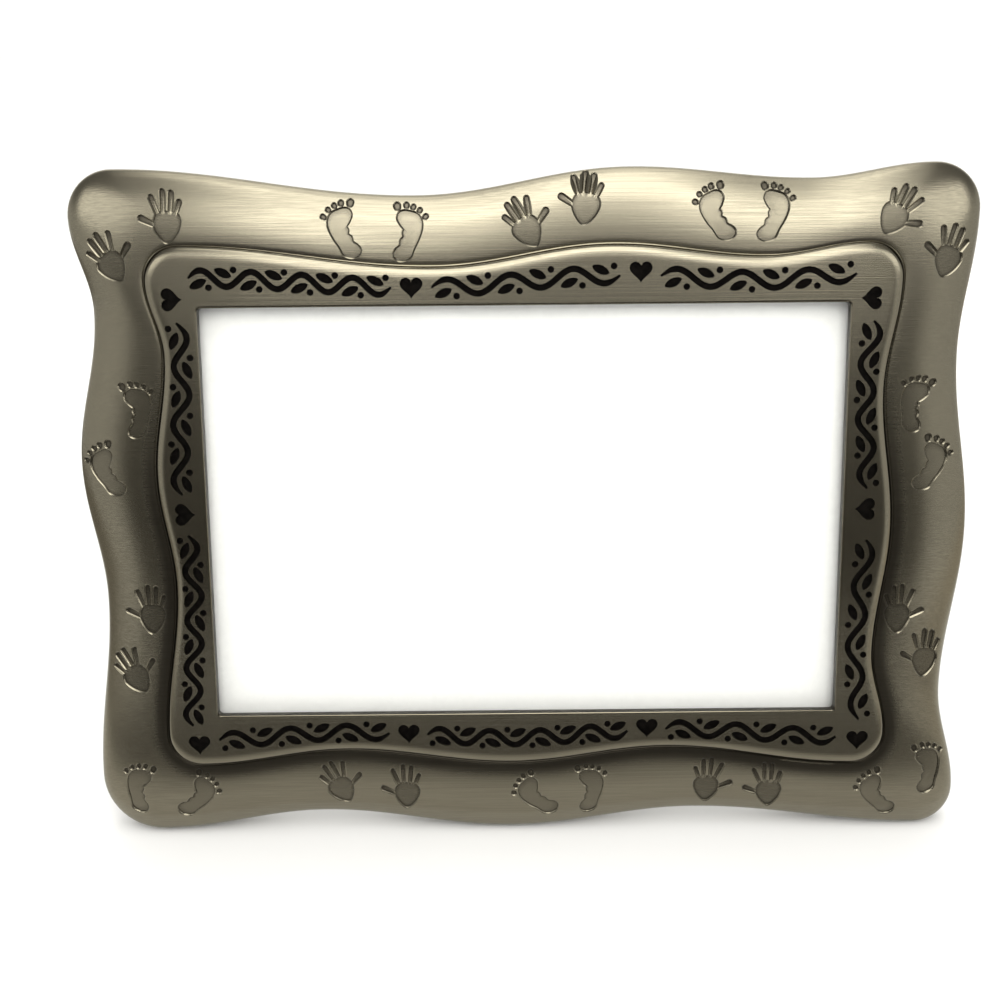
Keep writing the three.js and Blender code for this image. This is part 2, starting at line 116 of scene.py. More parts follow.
class Finish:
    """A node tree that is being written: a material's, or the world's."""

    def __init__(self, owner):
        owner.use_nodes = True
        self.owner = owner
        self.tree = owner.node_tree
        self.tree.nodes.clear()

    def node(self, kind, settings=None, inputs=None, output=0):
        made = self.tree.nodes.new(kind)
        for key, value in (settings or {}).items():
            setattr(made, key, value)
        for key, value in (inputs or {}).items():
            if isinstance(value, Wire):
                self.tree.links.new(value.socket, made.inputs[key])
            else:
                made.inputs[key].default_value = value
        return Wire(self, made.outputs[output]) if made.outputs else None

    def mix(self, factor, first, second):
        """A colour between two colours."""
        sockets = {0: factor, 6: first, 7: second}
        return self.node("ShaderNodeMix", {"data_type": "RGBA"}, sockets, 2)

    def place(self):
        return self.node("ShaderNodeTexCoord", output="Object")

    def axis(self, vector, letter):
        """One of a vector's three numbers."""
        return self.node("ShaderNodeSeparateXYZ", {}, {0: vector}, letter)

    def distance(self, value, middle):
        """How far a value lies from a middle one, either way."""
        return self.node("ShaderNodeMath", {"operation": "ABSOLUTE"}, {0: value - middle})

    def noise(self, stretch, detail=2.0, roughness=0.5):
        """Noise with so many waves to the metre along X, Y and Z."""
        scaled = self.node("ShaderNodeVectorMath", {"operation": "MULTIPLY"}, {0: self.place(), 1: stretch})
        inputs = {"Vector": scaled, "Scale": 1.0, "Detail": detail, "Roughness": roughness}
        return self.node("ShaderNodeTexNoise", {}, inputs, "Fac")

    def span(self, value, low, high, to_low=0.0, to_high=1.0):
        """Value from low to high, eased and spread from to_low to to_high."""
        inputs = {"Value": value, 1: low, 2: high, 3: to_low, 4: to_high}
        return self.node("ShaderNodeMapRange", {"interpolation_type": "SMOOTHSTEP"}, inputs)

    def bump(self, height, depth):
        return self.node("ShaderNodeBump", {}, {"Height": height, "Distance": depth, "Strength": 1.0})

    def surface(self, **sockets):
        """The Principled shader and the output. A socket's name has its spaces as underscores."""
        named = {key.replace("_", " "): value for key, value in sockets.items()}
        shader = self.node("ShaderNodeBsdfPrincipled", {}, named)
        self.node("ShaderNodeOutputMaterial", {}, {"Surface": shader})
        return self.owner


def new_finish(name):
    return Finish(bpy.data.materials.new(name))


print("a finish can be written as a sum")

# %% [markdown]
# ## The casting's finish
# Pewter is a warm grey metal. Brushing leaves level hair lines, long from side to side and hair thin across,
# so the noise for them is stretched along X. The antique wash is a dark brown film. It lies where a vertex
# value for the patina says: the casting's own code works that out from how deep and how close to the liner a
# point is, and thins it on the upper rail as painted light, as the top faces the lamps. The film is rougher
# than the bare metal and less of a mirror.

# %% Pewter, dark wash and black enamel
PEWTER_DARK = (0.178, 0.163, 0.124, 1)
PEWTER_LIGHT = (0.212, 0.195, 0.148, 1)
WASH = (0.015, 0.012, 0.0085, 1)
ENAMEL_DEEP = (0.0012, 0.001, 0.0008, 1)
ENAMEL_PALE = (0.004, 0.0033, 0.0027, 1)


def pewter_finish():
    finish = new_finish("brushed_pewter")
    hair_lines = finish.noise((26, 4600, 4600), 2.0, 0.5)
    broad_strokes = finish.noise((12, 900, 900), 2.0, 0.5)
    cloud = finish.noise((28, 28, 28), 3.0, 0.55)
    # the patina value, thinned on the upper rail as painted light
    wash_and_top_light = finish.node("ShaderNodeAttribute", {"attribute_name": "patina_and_top_light"}, {}, "Fac")
    brushed = finish.span(0.8 * hair_lines + 0.2 * broad_strokes, 0.3, 0.7)
    metal = finish.mix(brushed, PEWTER_DARK, PEWTER_LIGHT)
    film_and_top_light = finish.span(wash_and_top_light + 0.3 * (cloud - 0.5) + 0.25 * (hair_lines - 0.5), 0.0, 1.0)
    return finish.surface(
        Base_Color=finish.mix(0.92 * film_and_top_light, metal, WASH),
        Metallic=1 - 0.15 * film_and_top_light,
        Roughness=0.2 + 0.05 * (1 - brushed) + 0.08 * film_and_top_light,
        Normal=finish.bump(hair_lines, 0.000013),
    )


def enamel_finish():
    finish = new_finish("black_enamel")
    ripple = finish.noise((900, 900, 900), 2.0)
    return finish.surface(
        Base_Color=finish.mix(finish.span(ripple, 0.3, 0.7), ENAMEL_DEEP, ENAMEL_PALE),
        Roughness=0.5 + 0.2 * ripple,
        Normal=finish.bump(ripple, 0.00005),
        Specular_IOR_Level=0.03,
    )


PEWTER = pewter_finish()
ENAMEL = enamel_finish()
print("made", PEWTER.name, "and", ENAMEL.name)

# %% [markdown]
# ## Rings and lofts
# The casting's section is the same idea all the way round, but its width changes with the waves. A sweep
# would keep one width, so the casting is lofted instead: a ring of vertices is extruded again and again, and
# each new ring is moved to the next line of the section. The same two helpers make every ring shaped piece.


# %% Extruding a ring to the next ring
def ring_edges(board, ring):
    return [board.edges.get(pair) for pair in zip(ring, ring[1:] + ring[:1])]


def next_ring(board, ring, points):
    """Extrudes a closed ring and moves the new one to points, in the same order."""
    made = bmesh.ops.extrude_edge_only(board, edges=ring_edges(board, ring))["geom"]
    fresh = {part for part in made if isinstance(part, bmesh.types.BMVert)}
    following = []
    for vertex, point in zip(ring, points):
        twin = next(e.other_vert(vertex) for e in vertex.link_edges if e.other_vert(vertex) in fresh)
        twin.co = point
        following.append(twin)
    return following


def loft(board, rings):
    """A skin through rings of points. The first and the last ring come back."""
    first = bmesh.ops.create_circle(board, segments=len(rings[0]), radius=1)["verts"]
    for vertex, point in zip(first, rings[0]):
        vertex.co = point
    ring = first
    for points in rings[1:]:
        ring = next_ring(board, ring, points)
    return first, ring


def cap(board, ring):
    bmesh.ops.contextual_create(board, geom=ring_edges(board, ring))


WELD = 0.0005


def spun(profile, steps):
    """A profile of (radius, along) turned about the Y axis."""
    board = bmesh.new()
    line = [board.verts.new((radius, along, 0)) for radius, along in profile]
    edges = [board.edges.new(pair) for pair in zip(line, line[1:])]
    turn = {"cent": (0, 0, 0), "axis": (0, 1, 0), "angle": 2 * math.pi, "steps": steps, "use_merge": True}
    bmesh.ops.spin(board, geom=line + edges, **turn)
    bmesh.ops.remove_doubles(board, verts=board.verts, dist=WELD)
    return board


def closed_loft(board, rings):
    """A loft whose last ring meets its first one, as round a tyre."""
    loft(board, rings + rings[:1])
    bmesh.ops.remove_doubles(board, verts=board.verts, dist=WELD)


def bar_loft(board, rings):
    """A loft closed by a face at both ends."""
    for ring in loft(board, rings):
        cap(board, ring)


print("rings ready")

# %% [markdown]
# ## From a bmesh to a piece
# Each piece ends the same way. Its normals are made to point outwards and it gets its finish. When its holes
# and slots are cut, it is leaned into place and hung on the body of the model it rides on, and the model's
# solid that it stands for is hidden. Its object stays at the origin. Faces are shaded smooth, and edges
# sharper than a limit stay crisp.

# %% Finishing a piece
CRISP = 26
UPRIGHT = Matrix.Identity(4)


def to_object(board, name, finishes, matrix=UPRIGHT):
    bmesh.ops.transform(board, matrix=matrix, verts=board.verts)
    bmesh.ops.recalc_face_normals(board, faces=board.faces)
    mesh = bpy.data.meshes.new(name)
    board.to_mesh(mesh)
    board.free()
    for finish in finishes:
        mesh.materials.append(finish)
    piece = bpy.data.objects.new(name, mesh)
    scene.collection.objects.link(piece)
    return piece


def settle(piece, body, node, matrix=LEANING):
    """Puts a finished piece into its place and onto its body."""
    piece.data.transform(matrix)
    piece.data.update()
    piece.data.shade_smooth()
    piece.data.set_sharp_from_angle(angle=math.radians(CRISP))
    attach(piece, body)
    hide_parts(node)
    print(piece.name, "has", len(piece.data.polygons), "faces and rides on", body)


def carve(piece, tool, operation):
    """Joins or cuts piece with tool, keeps the result as piece's own mesh and removes the tool."""
    step = piece.modifiers.new("carve", "BOOLEAN")
    step.object = tool
    step.operation = operation
    step.solver = "MANIFOLD"
    step.material_mode = "TRANSFER"
    shaped = piece.evaluated_get(bpy.context.evaluated_depsgraph_get())
    piece.data = bpy.data.meshes.new_from_object(shaped)
    piece.modifiers.clear()
    bpy.data.objects.remove(tool)


print("edges over", CRISP, "degrees stay crisp")

# %% [markdown]
# ## The waves of the casting
# Each side of the frame swings from crest to trough and back. The photo gives the place of each crest and
# trough along its side, and how wide the liner and the border are there. Between two of them the outline
# eases like half a cosine wave, which has no corner. The rim of the liner and the outer edge share one set
# of steps, so point number seven of one always faces point number seven of the other.

# %% Outlines of the rim, the edge and the opening
OPENING_WIDTH = 146.05
OPENING_HEIGHT = 95.25
LINER_CREST = 12
LINER_TROUGH = 8.3
BORDER_WIDTH = 17.8
RIM_CORNER = 7.5
EDGE_CORNER = 10.3
OPENING_CORNER = 1.0
WAVE_STEPS = 22
CORNER_STEPS = 14
HALF_TURN = math.pi


class Side:
    """One side of the frame, run clockwise from corner to corner."""

    def __init__(self, along, out, half, places, liner_extra, border_extra, corner_extra):
        self.along = Vector(along)
        self.out = Vector(out)
        self.half = half
        self.places = places
        usual = [LINER_CREST, LINER_TROUGH, LINER_CREST, LINER_TROUGH, LINER_CREST]
        self.rim = [half + wide + extra for wide, extra in zip(usual, liner_extra)]
        self.edge = [rim + BORDER_WIDTH + extra for rim, extra in zip(self.rim, border_extra)]
        self.edge_corner = EDGE_CORNER + corner_extra

    def point(self, along, reach):
        return self.along * along + self.out * reach


SIDES = [
    Side(
        along=(1, 0),
        out=(0, 1),
        half=OPENING_HEIGHT / 2,
        places=[-1, -0.26, 0.26, 0.7, 1],
        liner_extra=[1.3, -0.1, 0.8, 1.7, 0.8],
        border_extra=[-0.3, -1.5, -0.3, -0.3, 0.1],
        corner_extra=0,
    ),
    Side(
        along=(0, -1),
        out=(1, 0),
        half=OPENING_WIDTH / 2,
        places=[-1, -0.525, 0.065, 0.63, 1],
        liner_extra=[-0.5, 0, -0.7, 0, -0.2],
        border_extra=[0.2, 0, 1.1, 0.1, 1],
        corner_extra=-1.3,
    ),
    Side(
        along=(-1, 0),
        out=(0, -1),
        half=OPENING_HEIGHT / 2,
        places=[-1, -0.43, 0.045, 0.55, 1],
        liner_extra=[1.1, 0.3, 0.2, 0.4, 0.2],
        border_extra=[-0.5, -0.4, 0.4, -0.5, 0.4],
        corner_extra=3.7,
    ),
    Side(
        along=(0, 1),
        out=(-1, 0),
        half=OPENING_WIDTH / 2,
        places=[-1, -0.31, 0.18, 0.69, 1],
        liner_extra=[-0.2, -0.3, -1, -0.4, -0.7],
        border_extra=[0.2, -0.1, 0.9, -1.2, -0.1],
        corner_extra=0,
    ),
]
TOP, RIGHT, BOTTOM, LEFT = SIDES


def between(first, second, share):
    return first + (second - first) * share


def eased(share):
    return (1 - math.cos(HALF_TURN * share)) / 2


def quarter_turns(steps):
    """Angles from nothing to a right angle, in so many even steps."""
    return [HALF_TURN / 2 * step / steps for step in range(steps + 1)]


def toward(angle):
    """A step of one unit in the direction of an angle."""
    return Vector((math.cos(angle), math.sin(angle)))


def circle_points(radius, steps):
    return [toward(2 * math.pi * step / steps) * radius for step in range(steps)]


def normals_of(points):
    """Unit normals: outwards where points run anticlockwise, inwards on the casting's clockwise outlines."""
    normals = []
    for index in range(len(points)):
        run = points[(index + 1) % len(points)] - points[index - 1]
        normals.append(Vector((run.y, -run.x)).normalized())
    return normals


def grown(points, distance):
    return [point + normal * distance for point, normal in zip(points, normals_of(points))]


def stops_of(index, reaches_of, corner_of):
    """Where a side's crests and troughs lie along it, in an outline with these reaches and corners."""
    before, side, after = (SIDES[(index + shift) % len(SIDES)] for shift in (-1, 0, 1))
    start = reaches_of(before)[-1] - corner_of(before)
    end = reaches_of(after)[0] - corner_of(side)
    return [place * (start if place < 0 else end) for place in side.places]


def outline(reaches_of, corner_of):
    """A closed outline in steps shared by all outlines: waves along each side, then an arc at its end."""
    points = []
    for index, side in enumerate(SIDES):
        reaches = reaches_of(side)
        stops = stops_of(index, reaches_of, corner_of)
        for here in range(len(stops) - 1):
            for step in range(WAVE_STEPS):
                share = step / WAVE_STEPS
                along = between(stops[here], stops[here + 1], share)
                points.append(side.point(along, between(reaches[here], reaches[here + 1], eased(share))))
        radius = corner_of(side)
        for turn in quarter_turns(CORNER_STEPS)[:-1]:
            along = stops[-1] + radius * math.sin(turn)
            points.append(side.point(along, reaches[-1] - radius + radius * math.cos(turn)))
    return points


def rectangle(width, height, corner):
    """A rectangle in the same steps, with a small corner radius."""
    halves = {TOP: height / 2, RIGHT: width / 2, BOTTOM: height / 2, LEFT: width / 2}
    return outline(lambda side: [halves[side]] * len(side.places), lambda side: corner)


rim_line = outline(lambda side: side.rim, lambda side: RIM_CORNER)
edge_line = outline(lambda side: side.edge, lambda side: side.edge_corner)
print("each outline has", len(rim_line), "points")

# %% [markdown]
# ## The casting's section
# Going out from the opening: a small bevel, the flat liner, the liner's rounded rim, a narrow groove, a fine
# bead, the hollow beside it, a crest, and a long roll down to the edge. Behind that the casting is a shell
# with a wall of even thickness, and a low wall makes the pocket for the glass. Each line of the section is
# an outline at a depth behind the liner's face.

# %% Rings of the casting's section
LINER_THICKNESS = 2.2
SHELL_WALL = 2.2
VALLEY_DEPTH = 1.3
CREST_DEPTH = 1.1
CREST_OFFSET = 2
EDGE_DROP = 4.1
CASTING_BACK = 11.5
POCKET_WIDTH = 154.0
POCKET_HEIGHT = 103.2
POCKET_WALL = 1.8
POCKET_BACK = 8.6
RIM_ROUND = 2.3
RIM_DROP = 0.75
BACK_ROUND = 0.4
RIM_SHARES = (1, 0.78, 0.58, 0.42, 0.28, 0.17, 0.08, 0.03, 0)
FLAT_MARGIN = 0.6
OPENING_BEVEL = [(0, 0.36), (0.07, 0.15), (0.18, 0.04), (0.36, 0), (FLAT_MARGIN, 0)]
GROOVE = [(0, 1.5), (0.04, 1.9), (0.3, 1.9), (0.38, 1.55), (0.48, 1.36), (0.62, 1.3), (0.78, 1.36)]
HOLLOW_STEPS = (1.0, 1.4, 1.7)
ROLL_STEPS = 22
INNER_ROLL_STEPS = 8
EDGE_WALL = 8
LEDGE = 2

outward = [far - near for near, far in zip(rim_line, edge_line)]


def at_depth(points, depth):
    return [Vector((point.x, depth, point.y)) for point in points]


def across_border(distance_of, depth):
    """The outline at a distance out from the rim, which may follow the border's width."""
    moved = []
    for near, way in zip(rim_line, outward):
        moved.append(near + way.normalized() * distance_of(way.length))
    return at_depth(moved, depth)


def opening_rings():
    rings = []
    for grow, depth in [(0, LINER_THICKNESS)] + OPENING_BEVEL:
        outline_here = rectangle(OPENING_WIDTH + 2 * grow, OPENING_HEIGHT + 2 * grow, OPENING_CORNER + grow)
        rings.append(at_depth(outline_here, depth))
    return rings


def liner_rings():
    rings = [at_depth(grown(rim_line, RIM_ROUND + FLAT_MARGIN), 0)]
    for share in RIM_SHARES:
        rise = math.sqrt(1 - (1 - share) ** 2)
        rings.append(at_depth(grown(rim_line, share * RIM_ROUND), RIM_DROP * (1 - rise)))
    return rings


def hollow_depth(distance):
    dip = 1 - math.sin(HALF_TURN / 2 * distance / CREST_OFFSET)
    return CREST_DEPTH + (VALLEY_DEPTH - CREST_DEPTH) * dip


def groove_rings():
    rows = GROOVE + [(distance, hollow_depth(distance)) for distance in HOLLOW_STEPS]
    return [across_border(lambda width, distance=distance: distance, depth) for distance, depth in rows]


def roll_rings(inset, depth, steps):
    rings = []
    for turn in quarter_turns(steps):

        def reach(width, turn=turn):
            return CREST_OFFSET + (width - inset - CREST_OFFSET) * math.sin(turn)

        rings.append(across_border(reach, depth + EDGE_DROP * (1 - math.cos(turn))))
    return rings


def back_edge_rings():
    rows = [(0, EDGE_WALL), (0, CASTING_BACK - BACK_ROUND), (BACK_ROUND, CASTING_BACK)]
    rows += [(SHELL_WALL - BACK_ROUND, CASTING_BACK), (SHELL_WALL, CASTING_BACK - BACK_ROUND)]
    return [across_border(lambda width, inset=inset: width - inset, depth) for inset, depth in rows]


def pocket_rings():
    underside = VALLEY_DEPTH + SHELL_WALL
    ledge = grown(rim_line, LEDGE)
    rings = [across_border(lambda width: 0, underside)]
    rings += [at_depth(ledge, depth) for depth in (underside, LINER_THICKNESS)]
    outer = POCKET_WIDTH + 2 * POCKET_WALL, POCKET_HEIGHT + 2 * POCKET_WALL
    for width, height, depth in [
        (*outer, LINER_THICKNESS),
        (*outer, POCKET_BACK - BACK_ROUND),
        (outer[0] - BACK_ROUND, outer[1] - BACK_ROUND, POCKET_BACK),
        (POCKET_WIDTH + BACK_ROUND, POCKET_HEIGHT + BACK_ROUND, POCKET_BACK),
        (POCKET_WIDTH, POCKET_HEIGHT, POCKET_BACK - BACK_ROUND),
        (POCKET_WIDTH, POCKET_HEIGHT, LINER_THICKNESS),
    ]:
        rings.append(at_depth(rectangle(width, height, OPENING_CORNER), depth))
    return rings


front_rings = opening_rings() + liner_rings() + groove_rings() + roll_rings(0, CREST_DEPTH, ROLL_STEPS)
inner_roll = roll_rings(SHELL_WALL, CREST_DEPTH + SHELL_WALL, INNER_ROLL_STEPS)
back_rings = back_edge_rings() + inner_roll[::-1] + pocket_rings()
print("rings in front:", len(front_rings), "and behind:", len(back_rings))

# %% [markdown]
# ## The plain casting
# The rings go round and close on themselves, so the casting comes out as one watertight ring. A tree of its
# faces is kept: a ray sent straight back through any point of the drawing tells how deep the surface lies
# there, which is what the prints need.

# %% Loft the casting and keep a way to sound its depth
casting_board = bmesh.new()
closed_loft(casting_board, front_rings + back_rings)
bmesh.ops.recalc_face_normals(casting_board, faces=casting_board.faces)
face_tree = BVHTree.FromBMesh(casting_board)
IN_FRONT = -40
BACKWARD = Vector((0, 1, 0))


def depth_at(x, z):
    """How far the casting's front lies behind the liner's face."""
    hit = face_tree.ray_cast(Vector((x, IN_FRONT, z)), BACKWARD)[0]
    return CREST_DEPTH + EDGE_DROP if hit is None else hit.y


casting = to_object(casting_board, "casting", [PEWTER, ENAMEL])
print("plain casting:", len(casting.data.polygons), "faces")

# %% [markdown]
# ## Pressing a shape into the casting
# A print is a shallow dish with a soft lip. Its cutter is turned on a lathe: a profile of the dish is spun
# into a round plug, and then every vertex is moved. Its angle picks a point of the shape's outline, its
# radius says how far out from the shape's middle it lies, and its height is measured from the casting's
# surface, so that the floor follows the curve of the border. Near the surface the wall flares, which
# leaves the lip round. Enamel starts below a bare lip. Bare faces carry a marking finish for a while, so that
# the edges round them can be found and kept crisp.

# %% Spinning a plug and moving it to an outline
CLEAR = 0.2
CAP_RISE = 3
CORNER_DARKER = 0.2
PRINT_LIP = 0.4
ENAMEL_LIP = 0.14
HEART_LIP = 0.07
LIP_SHARE = 0.3
WALL_ROWS = (1, 0.62, LIP_SHARE, 0)
JUST_PAST = 1.01
AT_WALL = 0.99
WASH_FADE = 0.6
PRESSED = bpy.data.materials.new("pressed")
METAL_SLOT, ENAMEL_SLOT, PRESSED_SLOT = range(3)


def add_board(tool, board):
    """Moves a board's mesh into a tool."""
    bmesh.ops.recalc_face_normals(board, faces=board.faces)
    mesh = bpy.data.meshes.new("part of a tool")
    board.to_mesh(mesh)
    board.free()
    tool.from_mesh(mesh)
    bpy.data.meshes.remove(mesh)


def plug(tool, points, middle, depth, lip, material, floor_rows=(), marks=None, darkness=0):
    """Adds one plug to the tool. Points run anticlockwise. Marks gathers (place, how dark) for the wash."""
    steps = len(points)
    normals = normals_of(points)
    profile = [(0, -depth)] + [(share, -depth) for share in floor_rows]
    wall = [(1, -share * depth) for share in WALL_ROWS]
    profile += wall + [(1, CLEAR), (0, CAP_RISE)]
    board = spun(profile, steps)
    for face in board.faces:
        lowest = min(vertex.co.y for vertex in face.verts)
        face.material_index = material if lowest < -JUST_PAST * LIP_SHARE * depth else PRESSED_SLOT
    for vertex in board.verts:
        share = vertex.co.xz.length
        height = vertex.co.y
        on_wall = share > AT_WALL
        index = round(math.atan2(vertex.co.z, vertex.co.x) / (2 * math.pi) * steps) % steps
        spot = between(middle, points[index], share)
        if on_wall:
            spot = spot + normals[index] * lip * max(0, 1 + height / depth) ** 2
        vertex.co = Vector((spot.x, depth_at(spot.x, spot.y) - height, spot.y))
        if marks is not None and height < 0:
            dark = darkness + CORNER_DARKER if on_wall else darkness
            marks.append((vertex.co.copy(), dark * (-height / depth) ** WASH_FADE))
    add_board(tool, board)


print("lips:", PRINT_LIP, "mm on a print,", HEART_LIP, "on a heart and", ENAMEL_LIP, "on the vine")

# %% [markdown]
# ## The prints
# A hand print is a palm, four separate fingers and a thumb. A foot print is a sole with a crinkled inner
# side and five toes. Each is drawn once, upright, with the thumb or the big toe to the right. The palm and
# the sole are smooth closed curves through a few points, and fingers and toes are drops between two round
# ends. A print is then turned, mirrored where it is a left one, and moved to its place on the border. Fingers
# run into the palm, and cutters that overlap must not be in one tool, so palms and soles are cut first, then
# every other finger and toe, then the rest. Fingers are a little shallower, so the palm's floor stays whole.


# %% Drawing a hand and a foot
def smooth_loop(corners, steps_each):
    """A closed curve through the corners, rounded as a Catmull-Rom spline."""
    loop = []
    count = len(corners)
    for index in range(count):
        a, b, c, d = (Vector(corners[(index + shift) % count]) for shift in (-1, 0, 1, 2))
        for step in range(steps_each):
            t = step / steps_each
            pull = (c - a) * t + (2 * a - 5 * b + 4 * c - d) * t**2 + (3 * b - a - 3 * c + d) * t**3
            loop.append(b + 0.5 * pull)
    return loop


def drop(base, tip, base_radius, tip_radius, steps=14):
    """A shape with two round ends, such as a finger."""
    base = Vector(base)
    tip = Vector(tip)
    heading = math.atan2(tip.y - base.y, tip.x - base.x)
    loop = []
    for end, radius, start in ((tip, tip_radius, -HALF_TURN / 2), (base, base_radius, HALF_TURN / 2)):
        for step in range(steps // 2):
            turn = heading + start + HALF_TURN * step / (steps // 2 - 1)
            loop.append(end + toward(turn) * radius)
    return loop


PALM_LEFT = [(-1.3, 0.5), (-3.3, 0.2), (-4.3, -1.3), (-3.9, -3.3), (-2.7, -5.2), (-1.3, -6.2)]
PALM_RIGHT = [(-0.1, -5.4), (1.0, -3.9), (1.6, -2.2), (1.1, -0.4), (0.1, 0.4)]
PALM_MIDDLE = (-1.4, -2.6)
FINGERS = [
    ((-3.0, -0.6), (-4.2, 2.6), 0.26, 0.36),
    ((-2.0, -0.2), (-2.35, 4.6), 0.28, 0.4),
    ((-0.5, -0.1), (-0.4, 4.9), 0.28, 0.4),
    ((0.5, -0.2), (2.1, 3.7), 0.26, 0.38),
    ((1.5, -2.3), (4.3, -0.9), 0.28, 0.5),
]
SOLE_OUTER = [(0.2, 4.4), (-1.4, 4.1), (-2.5, 3.0), (-2.9, 1.2), (-2.5, -1.2), (-1.7, -3.5), (-1.2, -5.4)]
HEEL = [(0.4, -6.4), (1.8, -6.3), (2.6, -5.4), (2.2, -4.2)]
ARCH = [(1.4, -3.3), (1.4, -2.1), (0.8, -1.3), (1.1, -0.4), (0.9, 0.4), (1.5, 0.95)]
BALL = [(2.1, 1.6), (2.7, 2.6), (2.5, 3.8), (1.5, 4.4)]
SOLE_MIDDLE = (-1.6, -1.0)
TOES = [
    ((3.05, 4.95), (3.2, 5.35), 0.5, 0.58),
    ((1.1, 5.5), (1.15, 5.8), 0.36, 0.4),
    ((-0.4, 5.35), (-0.45, 5.6), 0.32, 0.36),
    ((-1.9, 4.8), (-2.0, 5.05), 0.3, 0.34),
    ((-3.3, 3.6), (-3.5, 3.85), 0.32, 0.36),
]
PALM_STEPS = 4
SOLE_STEPS = 3
PRINT_DEPTH = 0.45
FINGER_DEPTH = 0.43
FLOOR_ROWS = (0.4, 0.75)
FINGER_ROWS = (0.5,)
PALM_DARK = 0.52
SOLE_DARK = 0.34
FINGER_DARK = 0.68


def small_marks(ends_and_radii):
    """Drops for fingers or toes, each with its middle."""
    marks = []
    for base, tip, base_radius, tip_radius in ends_and_radii:
        middle = (Vector(base) + Vector(tip)) / 2
        marks.append((drop(base, tip, base_radius, tip_radius), middle))
    return marks


HAND = [(smooth_loop(PALM_LEFT + PALM_RIGHT, PALM_STEPS), PALM_MIDDLE)] + small_marks(FINGERS)
FOOT = [(smooth_loop(SOLE_OUTER + HEEL + ARCH + BALL, SOLE_STEPS), SOLE_MIDDLE)] + small_marks(TOES)


def turned(loop, tilt, mirrored, middle):
    """A loop mirrored if asked, tilted clockwise by so many degrees, moved, and still anticlockwise."""
    angle = math.radians(-tilt)
    moved = []
    for point in loop:
        x = -point.x if mirrored else point.x
        turned_x = x * math.cos(angle) - point.y * math.sin(angle)
        turned_y = x * math.sin(angle) + point.y * math.cos(angle)
        moved.append(Vector((turned_x, turned_y)) + Vector(middle))
    return moved[::-1] if mirrored else moved


def press(tools, marks, print_marks, places, mirrored, floor_dark):
    """Palm or sole into the first tool, and fingers or toes by turns into the other two."""
    for x, z, tilt in places:
        for number, (loop, middle) in enumerate(print_marks):
            spot = turned([Vector(middle)], tilt, mirrored, (x, z))[0]
            points = turned(loop, tilt, mirrored, (x, z))
            tool, depth, rows, dark = tools[1 + number % 2], FINGER_DEPTH, FINGER_ROWS, FINGER_DARK
            if number == 0:
                tool, depth, rows, dark = tools[0], PRINT_DEPTH, FLOOR_ROWS, floor_dark
            plug(tool, points, spot, depth, PRINT_LIP, PRESSED_SLOT, rows, marks, dark)


print("a hand has", len(HAND), "marks and a foot has", len(FOOT))

# %% [markdown]
# ## Where the prints are
# The prints come in pairs, one with its thumb or big toe to the right and one to the left, and they walk
# round the border at their own angles. Each is given by its middle and its tilt, clockwise, in degrees.

# %% Press the prints
RIGHT_HANDS = [
    (-91.9, 60.0, -33),
    (0.9, 66.8, -31),
    (84.5, 67.5, 30),
    (88.5, -22.8, 0),
    (44.7, -65.1, 2),
    (-44.4, -64.3, -26),
    (-92.2, -35.8, -32),
]
LEFT_HANDS = [
    (-80.2, 68.3, 0),
    (12.9, 71.6, 8),
    (94.2, 59.5, 18),
    (93.3, -33.8, 5),
    (56.9, -66.5, -3),
    (-30.1, -66.0, 1),
    (-88.7, -21.3, 1),
]
RIGHT_FEET = [
    (-40.0, 64.6, -15),
    (42.7, 67.5, -21),
    (88.6, 25.0, 12),
    (84.1, -69.3, -30),
    (2.0, -69.0, -40),
    (-93.5, -66.1, 9),
    (-96.3, 11.2, -22),
]
LEFT_FEET = [
    (-25.5, 64.0, 8),
    (55.7, 67.5, 12),
    (93.5, 10.9, 20),
    (96.5, -62.8, -5),
    (15.5, -67.2, -1),
    (-79.0, -68.2, 35),
    (-87.8, 25.2, -3),
]
cutter_sets = [bmesh.new(), bmesh.new(), bmesh.new()]
cutters = cutter_sets[0]
wash_marks = []
press(cutter_sets, wash_marks, HAND, RIGHT_HANDS, False, PALM_DARK)
press(cutter_sets, wash_marks, HAND, LEFT_HANDS, True, PALM_DARK)
press(cutter_sets, wash_marks, FOOT, RIGHT_FEET, False, SOLE_DARK)
press(cutter_sets, wash_marks, FOOT, LEFT_FEET, True, SOLE_DARK)
print("cutter faces for the prints:", [len(tool.faces) for tool in cutter_sets])

# %% [markdown]
# ## Hearts and vine
# The liner carries a band of black enamel. Hearts mark where one stretch ends and the next begins, and a
# running vine fills each stretch: a stem that swings like a slow wave, with a leaf and a berry in every
# hollow. The band follows the middle of the liner, so it rises and falls with the waves. The stem is one
# bar lofted along its own path, and everything else is a plug.

# %% Cut the hearts
HEART_WIDTH = 5.0
HEART_DEPTH = 0.5
CURVE_WIDTH = 32
UPRIGHT_HEARTS = [(-25.0, 51.7), (26.1, 54.7), (78.6, -55.1), (28.6, -51.6), (-27.9, -52.5), (-77.7, -54.8)]
TIP_RIGHT_HEARTS = [(-78.5, 49.6), (-78.1, 0.9)]
TIP_LEFT_HEARTS = [(77.6, 48.5), (78.1, 0.7)]


def heart_loop(steps=36):
    """The common heart curve, from its dip, anticlockwise."""
    loop = []
    for step in range(steps):
        t = -2 * math.pi * step / steps
        x = 16 * math.sin(t) ** 3
        y = 13 * math.cos(t) - 5 * math.cos(2 * t) - 2 * math.cos(3 * t) - math.cos(4 * t) + 2
        loop.append(Vector((x, y)) * HEART_WIDTH / CURVE_WIDTH)
    return loop


for tilt, places in ((0, UPRIGHT_HEARTS), (-90, TIP_RIGHT_HEARTS), (90, TIP_LEFT_HEARTS)):
    for place in places:
        loop = turned(heart_loop(), tilt, False, place)
        plug(cutters, loop, Vector(place), HEART_DEPTH, HEART_LIP, ENAMEL_SLOT)
print("hearts are in the tool")

